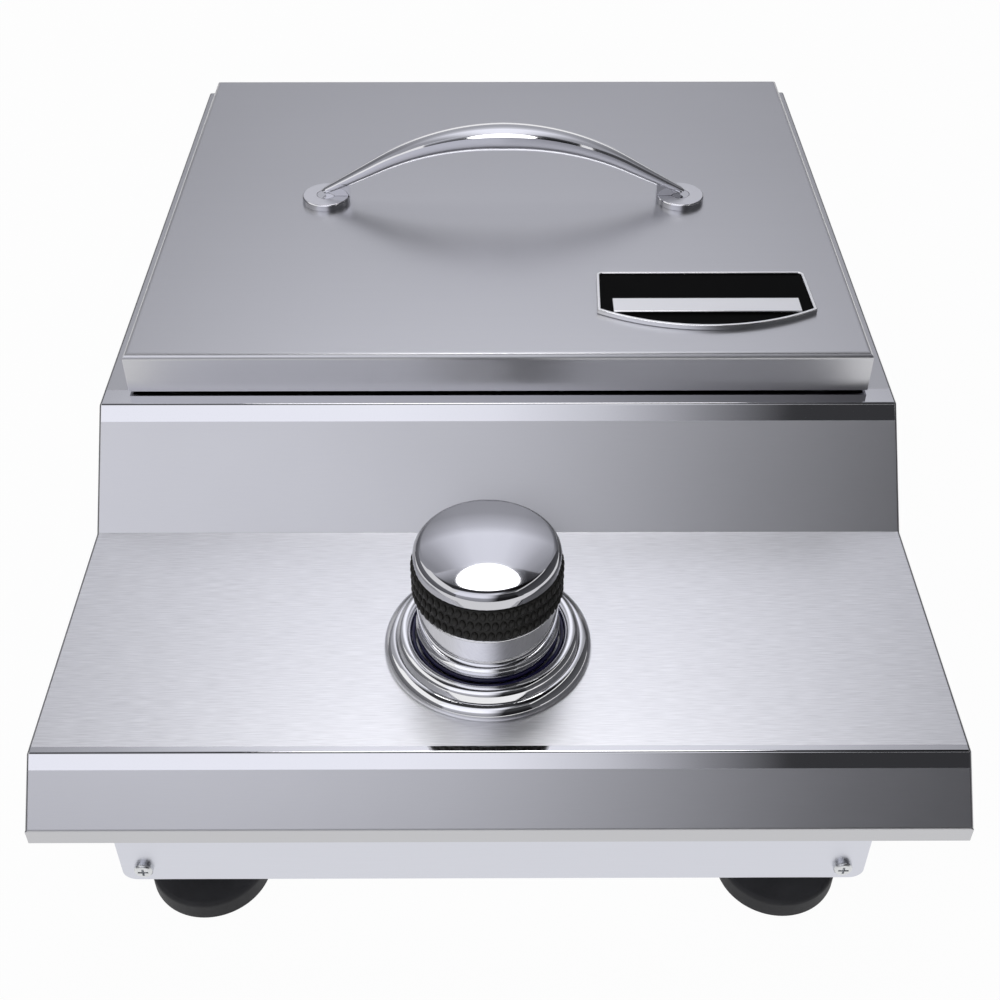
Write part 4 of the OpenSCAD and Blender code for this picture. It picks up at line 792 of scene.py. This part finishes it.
# %% [markdown]
# The bezel is spun chrome sheet: a fat outer roll, a valley, and a bead round the opening. Arcs give
# the rolls, and the valley is the straight step between them. The dark ring that fills the gap to
# the knob is turned the same way. Smooth chrome with a painted ring would lose the crisp rings of
# light that the valley makes.

# %% Bezel and dark ring
bezel_low, bezel_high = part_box("bezel")
bezel_r = (bezel_high.x - bezel_low.x) / 2
BEZEL_BORE = 28.4 * MM
ROLL_R = 4.2 * MM
BEAD_R = 2.8 * MM
EDGE_H = 0.8 * MM
EDGE_IN = 0.2 * MM
bezel_axis = (middle("bezel").x, middle("bezel").y)
roll_mid = bezel_r - ROLL_R
bead_mid = BEZEL_BORE + BEAD_R
bezel_outline = [(BEZEL_BORE, bezel_low.z), (bezel_r - EDGE_IN, bezel_low.z)]
bezel_outline += arc(roll_mid, bezel_low.z + EDGE_H, ROLL_R, 0, 90, 14)
bezel_outline += arc(bead_mid, bezel_high.z - BEAD_R, BEAD_R, 15, 180, 16)
bm = bmesh.new()
lathe(bm, bezel_outline, bezel_axis)
keep_piece(bm, "bezel_spun", "base", chrome, ("bezel",))

ring_low, ring_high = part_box("light_ring")
ring_r = (ring_high.x - ring_low.x) / 2
RING_BORE = 27.1 * MM
RING_ROUND = 0.5 * MM
ring_outline = [(RING_BORE, ring_low.z), (ring_r, ring_low.z), (ring_r, ring_high.z)]
ring_outline += arc(RING_BORE + RING_ROUND, ring_high.z - RING_ROUND, RING_ROUND, 90, 180, 4)
bm = bmesh.new()
lathe(bm, ring_outline, bezel_axis)
keep_piece(bm, "light_ring_turned", "base", ring_plastic, ("light_ring",))

# %% [markdown]
# The lid is one sheet folded down on four sides, like a baking tin turned over. A cube gives the
# block, its upper edges are rounded by a bevel with the bend's radius, the floor is deleted, and the
# wall gets its thickness inward. A pressed lid would have soft corners, and this one has folded ones.

# %% Lid
lid_low, lid_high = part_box("lid")
LID_BEND = 2.4 * MM
LID_WALL = 1.2 * MM


def round_edges(bm, edges, width, segments, clamp):
    bmesh.ops.bevel(bm, geom=edges, offset=width, offset_type="OFFSET", segments=segments, profile=0.5,
                    affect="EDGES", clamp_overlap=clamp, material=-1)


bm = bmesh.new()
size = lid_high - lid_low
block = Matrix.Translation((lid_low + lid_high) / 2) @ Matrix.Diagonal((size.x, size.y, size.z, 1))
bmesh.ops.create_cube(bm, size=1.0, matrix=block)
floor_face = [f for f in bm.faces if f.normal.z < -0.9]
bmesh.ops.delete(bm, geom=floor_face, context="FACES_ONLY")
top_edges = [e for e in bm.edges if all(v.co.z > lid_high.z - MM for v in e.verts)]
round_edges(bm, top_edges, LID_BEND, 8, True)
bmesh.ops.recalc_face_normals(bm, faces=bm.faces)
bmesh.ops.solidify(bm, geom=bm.faces[:] + bm.edges[:] + bm.verts[:], thickness=LID_WALL)
lid_piece = keep_piece(bm, "lid_folded", "lid", lid_steel, ("lid",))
print("lid size in mm:", [round(length / MM, 2) for length in lid_piece.dimensions])

# %% [markdown]
# The handle is a cast bow on two bases. Seen from the front it is an arc that ends in two straight
# runs. Its middle line is written as a function of the distance along it, which gives even steps. A
# curve object could carry the same line, but its section would keep one outline all along.

# %% Line of the bow
HANDLE_SPAN = 168.7 * MM
ARCH_R = 121 * MM
ARCH_HALF = 59.2 * MM
END_Z = 6.13 * MM
arch_turn = math.asin(ARCH_HALF / ARCH_R)
arc_length = ARCH_R * arch_turn
run_length = (HANDLE_SPAN / 2 - ARCH_HALF) / math.cos(arch_turn)
bar_half = arc_length + run_length
bar_rise = END_Z + ARCH_R * (1 - math.cos(arch_turn)) + run_length * math.sin(arch_turn)
bases = middle("handle_bases")
handle_middle = Vector((bases.x, bases.y, lid_high.z))


def arch_place(s):
    """Gives place and slope at a distance along the bow: an arc, then a straight run at each end."""
    slope = s / ARCH_R if abs(s) < arc_length else math.copysign(arch_turn, s)
    if abs(s) < arc_length:
        return ARCH_R * math.sin(slope), bar_rise - ARCH_R * (1 - math.cos(slope)), slope
    beyond = abs(s) - arc_length
    x = math.copysign(ARCH_HALF + beyond * math.cos(arch_turn), s)
    return x, bar_rise - ARCH_R * (1 - math.cos(arch_turn)) - beyond * math.sin(arch_turn), slope


print("bow rises", round(bar_rise / MM, 2), "mm over the lid")

# %% [markdown]
# The bow is round below and nearly flat above, so a crease runs along both sides. It is widest in the
# middle and thins to its ends. So the section is written out too, point by point round a ring, with
# its width and depth taken from the place along the bow. A scaled circle would lose the crease.

# %% Section of the bow
BAR_WIDE, BAR_THIN = 14.6 * MM, 4.4 * MM
BELLY_DEEP, BELLY_THIN = 9.7 * MM, 2.9 * MM
CROWN_TURN = math.radians(27)
ROLL_SHARE = 0.8
END_REACH = 2.2 * MM
SWELL = 1.41
END_LEAST = 0.15
BAR_SIDES = 40


def crown_height(half, across):
    """Gives the height of the bow's upper side: a shallow arc that rolls over near the bar's edge."""
    bend_r = half / math.sin(CROWN_TURN)
    start = half * ROLL_SHARE
    level = math.sqrt(bend_r ** 2 - min(across, start) ** 2) - bend_r * math.cos(CROWN_TURN)
    return level * math.sqrt(max(0, 1 - (max(0, across - start) / (half - start)) ** 2))


def shape_ring(verts, s):
    """Moves a ring of points to the bow's section at a distance along it."""
    share = 1 - min(1, abs(s) / bar_half) ** SWELL
    beyond = max(0, abs(s) - bar_half) / END_REACH
    ending = math.sqrt(max(END_LEAST, 1 - beyond ** 2))
    half = (BAR_THIN + (BAR_WIDE - BAR_THIN) * share) / 2 * ending
    belly = (BELLY_THIN + (BELLY_DEEP - BELLY_THIN) * share) * ending
    x, z, slope = arch_place(s)
    for i, vert in enumerate(verts):
        t = 2 * math.pi * i / BAR_SIDES
        out = crown_height(half, half * math.cos(t)) if math.sin(t) > 0 else belly * math.sin(t)
        vert.co = handle_middle + Vector((x + out * math.sin(slope), half * math.cos(t),
                                          z + out * math.cos(slope)))


print("section of the bow:", BAR_SIDES, "points")

# %% [markdown]
# The bow is a loft: a ring of edges is extruded again and again, and each new ring is shaped for its
# place along the line. The ends get a few closer steps, so that they round off, and a cap. Sculpting
# it from a bent cylinder would be quicker to begin, but its width could only be judged by eye.

# %% Loft of the bow
BAR_STEPS = 96


def next_ring(bm, ring):
    """Extrudes a ring of edges, and returns the new points in the order of the old ones."""
    edges = [bm.edges.get((ring[i], ring[i - 1])) for i in range(BAR_SIDES)]
    made = bmesh.ops.extrude_edge_only(bm, edges=edges)
    fresh = set(v for v in made["geom"] if isinstance(v, bmesh.types.BMVert))
    return [next(e.other_vert(v) for e in v.link_edges if e.other_vert(v) in fresh) for v in ring]


stations = [-bar_half - END_REACH * share for share in (1, 0.8, 0.5)]
stations += [bar_half * (2 * i / BAR_STEPS - 1) for i in range(BAR_STEPS + 1)]
stations += [bar_half + END_REACH * share for share in (0.5, 0.8, 1)]
bm = bmesh.new()
ring = bmesh.ops.create_circle(bm, cap_ends=False, radius=BAR_WIDE, segments=BAR_SIDES)["verts"]
first_ring = list(ring)
shape_ring(ring, stations[0])
for station in stations[1:]:
    ring = next_ring(bm, ring)
    shape_ring(ring, station)
bmesh.ops.contextual_create(bm, geom=first_ring)
bmesh.ops.contextual_create(bm, geom=ring)
print("bow lofted over", len(stations), "rings")

# %% [markdown]
# Under each end of the bow a flat web runs down into a slot of the base, and a round boss takes the
# screw from below. They are part of the same casting, so both are added to the bow's mesh. A web is
# a flat face with four corners, pulled to its thickness, and the boss is a short cylinder.

# %% Webs and bosses of the handle
base_low, base_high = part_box("handle_bases")
base_r = (base_high.y - base_low.y) / 2
WEB = 3.6 * MM
WEB_SINK = 1.2 * MM
WEB_END_SINK = 0.7 * MM
BOSS_R = 4.4 * MM
BOSS_SINK = 0.1 * MM
BOSS_SIDES = 48
boss_rise = base_high.z - lid_high.z - BOSS_SINK
for side in (-1, 1):
    centre = handle_middle + Vector((side * HANDLE_SPAN / 2, 0, 0))
    near_z = arch_place(bar_half - base_r / math.cos(arch_turn))[1] - WEB_SINK
    corners = [(0, 0), (-base_r, 0), (-base_r, near_z), (0, END_Z - WEB_END_SINK)]
    low = [bm.verts.new(centre + Vector((side * x, -WEB / 2, z))) for x, z in corners]
    web = bmesh.ops.contextual_create(bm, geom=low)["faces"]
    raised = bmesh.ops.extrude_face_region(bm, geom=web)
    bmesh.ops.translate(bm, vec=(0, WEB, 0),
                        verts=[v for v in raised["geom"] if isinstance(v, bmesh.types.BMVert)])
    boss = Matrix.Translation(centre + Vector((0, 0, boss_rise / 2)))
    bmesh.ops.create_cone(bm, cap_ends=True, segments=BOSS_SIDES, radius1=BOSS_R, radius2=BOSS_R,
                          depth=boss_rise, matrix=boss)
keep_piece(bm, "handle_bow", "lid", bow_chrome, ("handle_bar",))

# %% [markdown]
# Some pieces need nothing but rounded edges. Their shape is copied from the imported node, its loose
# triangles are welded and flat ones joined, and then every sharp edge gets a bevel. Modelling them a second
# time would take longer and could drift from the node.

# %% Rounding a imported shape
WELD_REACH = 0.002 * MM
ON_WALL = 0.01 * MM
FLAT_ENOUGH = math.radians(0.4)
SIDE_SEGMENTS = 4
LOOKS_UP = 0.3


def hard_edges(bm, sharp):
    return [e for e in bm.edges if len(e.link_faces) == 2 and e.calc_face_angle(0) > math.radians(sharp)]


def soften(node, width, material, segments=2, sharp=35, name=None, side_width=0.0):
    """Copies a node, welds its loose triangles and rounds its sharp edges.

    With side_width, the long edges along both side walls get that wider round first. The bevels may
    not swell the piece past its own width.
    """
    bm = bmesh.new()
    bm.from_mesh(nodes[node].data)
    bmesh.ops.remove_doubles(bm, verts=bm.verts, dist=WELD_REACH)
    bmesh.ops.dissolve_limit(bm, angle_limit=FLAT_ENOUGH, verts=bm.verts, edges=bm.edges)
    low_x = min(v.co.x for v in bm.verts)
    high_x = max(v.co.x for v in bm.verts)
    if side_width:
        sides = [e for e in hard_edges(bm, sharp) if all(abs(v.co.x) > high_x - ON_WALL for v in e.verts)
                 and any(f.normal.z > LOOKS_UP for f in e.link_faces)]
        round_edges(bm, sides, side_width, SIDE_SEGMENTS, False)
    round_edges(bm, hard_edges(bm, sharp), width, segments, True)
    for vert in bm.verts:
        vert.co.x = min(high_x, max(low_x, vert.co.x))
    return keep_piece(bm, name or node + "_shell", body_of(nodes[node])[0], material, (node,))


print("rounding ready")

# %% [markdown]
# Each base is a round disc with a satin top and a polished wall. It is wider than the bar's end, so
# it spreads the load on thin sheet. Its slot takes the web, which a turned outline can't have, so
# the bases keep the shape of their node, and only their sharp edges are rounded.

# %% Handle bases
BASE_ROUND = 0.35 * MM
soften("handle_bases", BASE_ROUND, base_chrome, 3, name="handle_bases_turned")

# %% [markdown]
# A foot is a moulded rubber pad with a rounded shoulder, and a shallow recess in its top where the
# stud comes out. Each is one turned outline. Moulded rubber has no sharp edge, so the outline has
# an arc at both ends of the wall, where a plain cylinder would look like cut bar.

# %% Feet
pads_low, pads_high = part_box("foot_pads")
FOOT_R = 24 * MM
SOLE_ROUND = 0.8 * MM
SHOULDER = 2 * MM
RECESS_R = 6 * MM
RECESS_FLOOR_R = 5 * MM
RECESS = 0.6 * MM
FOOT_SIDES = 96
foot_places = [(x, y) for x in (pads_low.x + FOOT_R, pads_high.x - FOOT_R)
               for y in (pads_low.y + FOOT_R, pads_high.y - FOOT_R)]
bm = bmesh.new()
for place in foot_places:
    outline = [(0, pads_low.z), (FOOT_R - SOLE_ROUND, pads_low.z)]
    outline += arc(FOOT_R - SOLE_ROUND, pads_low.z + SOLE_ROUND, SOLE_ROUND, -90, 0, 4)[1:]
    outline += arc(FOOT_R - SHOULDER, pads_high.z - SHOULDER, SHOULDER, 0, 90, 8)
    outline += [(RECESS_R, pads_high.z), (RECESS_FLOOR_R, pads_high.z - RECESS), (0, pads_high.z - RECESS)]
    lathe(bm, outline, place, FOOT_SIDES, closed=False)
keep_piece(bm, "foot_pads_moulded", "base", foot_rubber, ("foot_pads",))

# %% [markdown]
# Folded sheet never has a perfect edge: a cut edge is dressed by a file, and that thin round is
# what catches the light. The hood, the front panel with its screws and the parts of the badge keep
# the shape of their nodes, and a copy of each gets its loose triangles welded and its sharp edges
# rounded. A bevel modifier would do it too, but it can't pick the hood's long sides by itself.

# %% Sheet pieces with dressed edges
soften("hood", 0.25 * MM, hood_steel, side_width=1.1 * MM)
soften("front_panel", 0.3 * MM, chassis_steel)
soften("panel_screws", 0.12 * MM, zinc)
soften("badge_frame", 0.35 * MM, badge_chrome, 3)
soften("badge_face", 0.2 * MM, badge_enamel)
soften("badge_bar", 0.35 * MM, badge_chrome, 3)

# %% [markdown]
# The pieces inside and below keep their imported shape, and only their finish is set here. On the real
# burner they are plain or plated stock that is hardly seen once it is built in. New meshes for them
# would take much work and show nothing, so one table ties each node to its material.

# %% Finishes of the inner pieces
finish_of = {
    "chassis": chassis_steel, "foot_studs": zinc, "foot_nuts": zinc, "burner_bowl": bowl_steel,
    "grate_frame": rod_steel, "grate_bars": rod_steel, "burner_body": cast_burner,
    "burner_cap": brass, "burner_bracket": chassis_steel, "burner_screw": zinc, "air_shutter": zinc,
    "igniter_electrode": glaze, "spark_pin": rod_steel, "igniter_clip": chassis_steel,
    "orifice": brass, "valve_body": brass, "valve_plug": brass, "valve_stem": zinc,
    "valve_bracket": chassis_steel, "valve_screws": zinc, "gas_pipe": brass, "pipe_nuts": brass,
    "inlet_fitting": brass, "inlet_locknut": brass, "bezel_screws": zinc, "lid_bumpers": foot_rubber,
    "handle_screws": zinc,
}
for node_name, material in finish_of.items():
    mesh = nodes[node_name].data
    mesh.materials.clear()
    mesh.materials.append(material)
print("finishes set on", len(finish_of), "nodes")
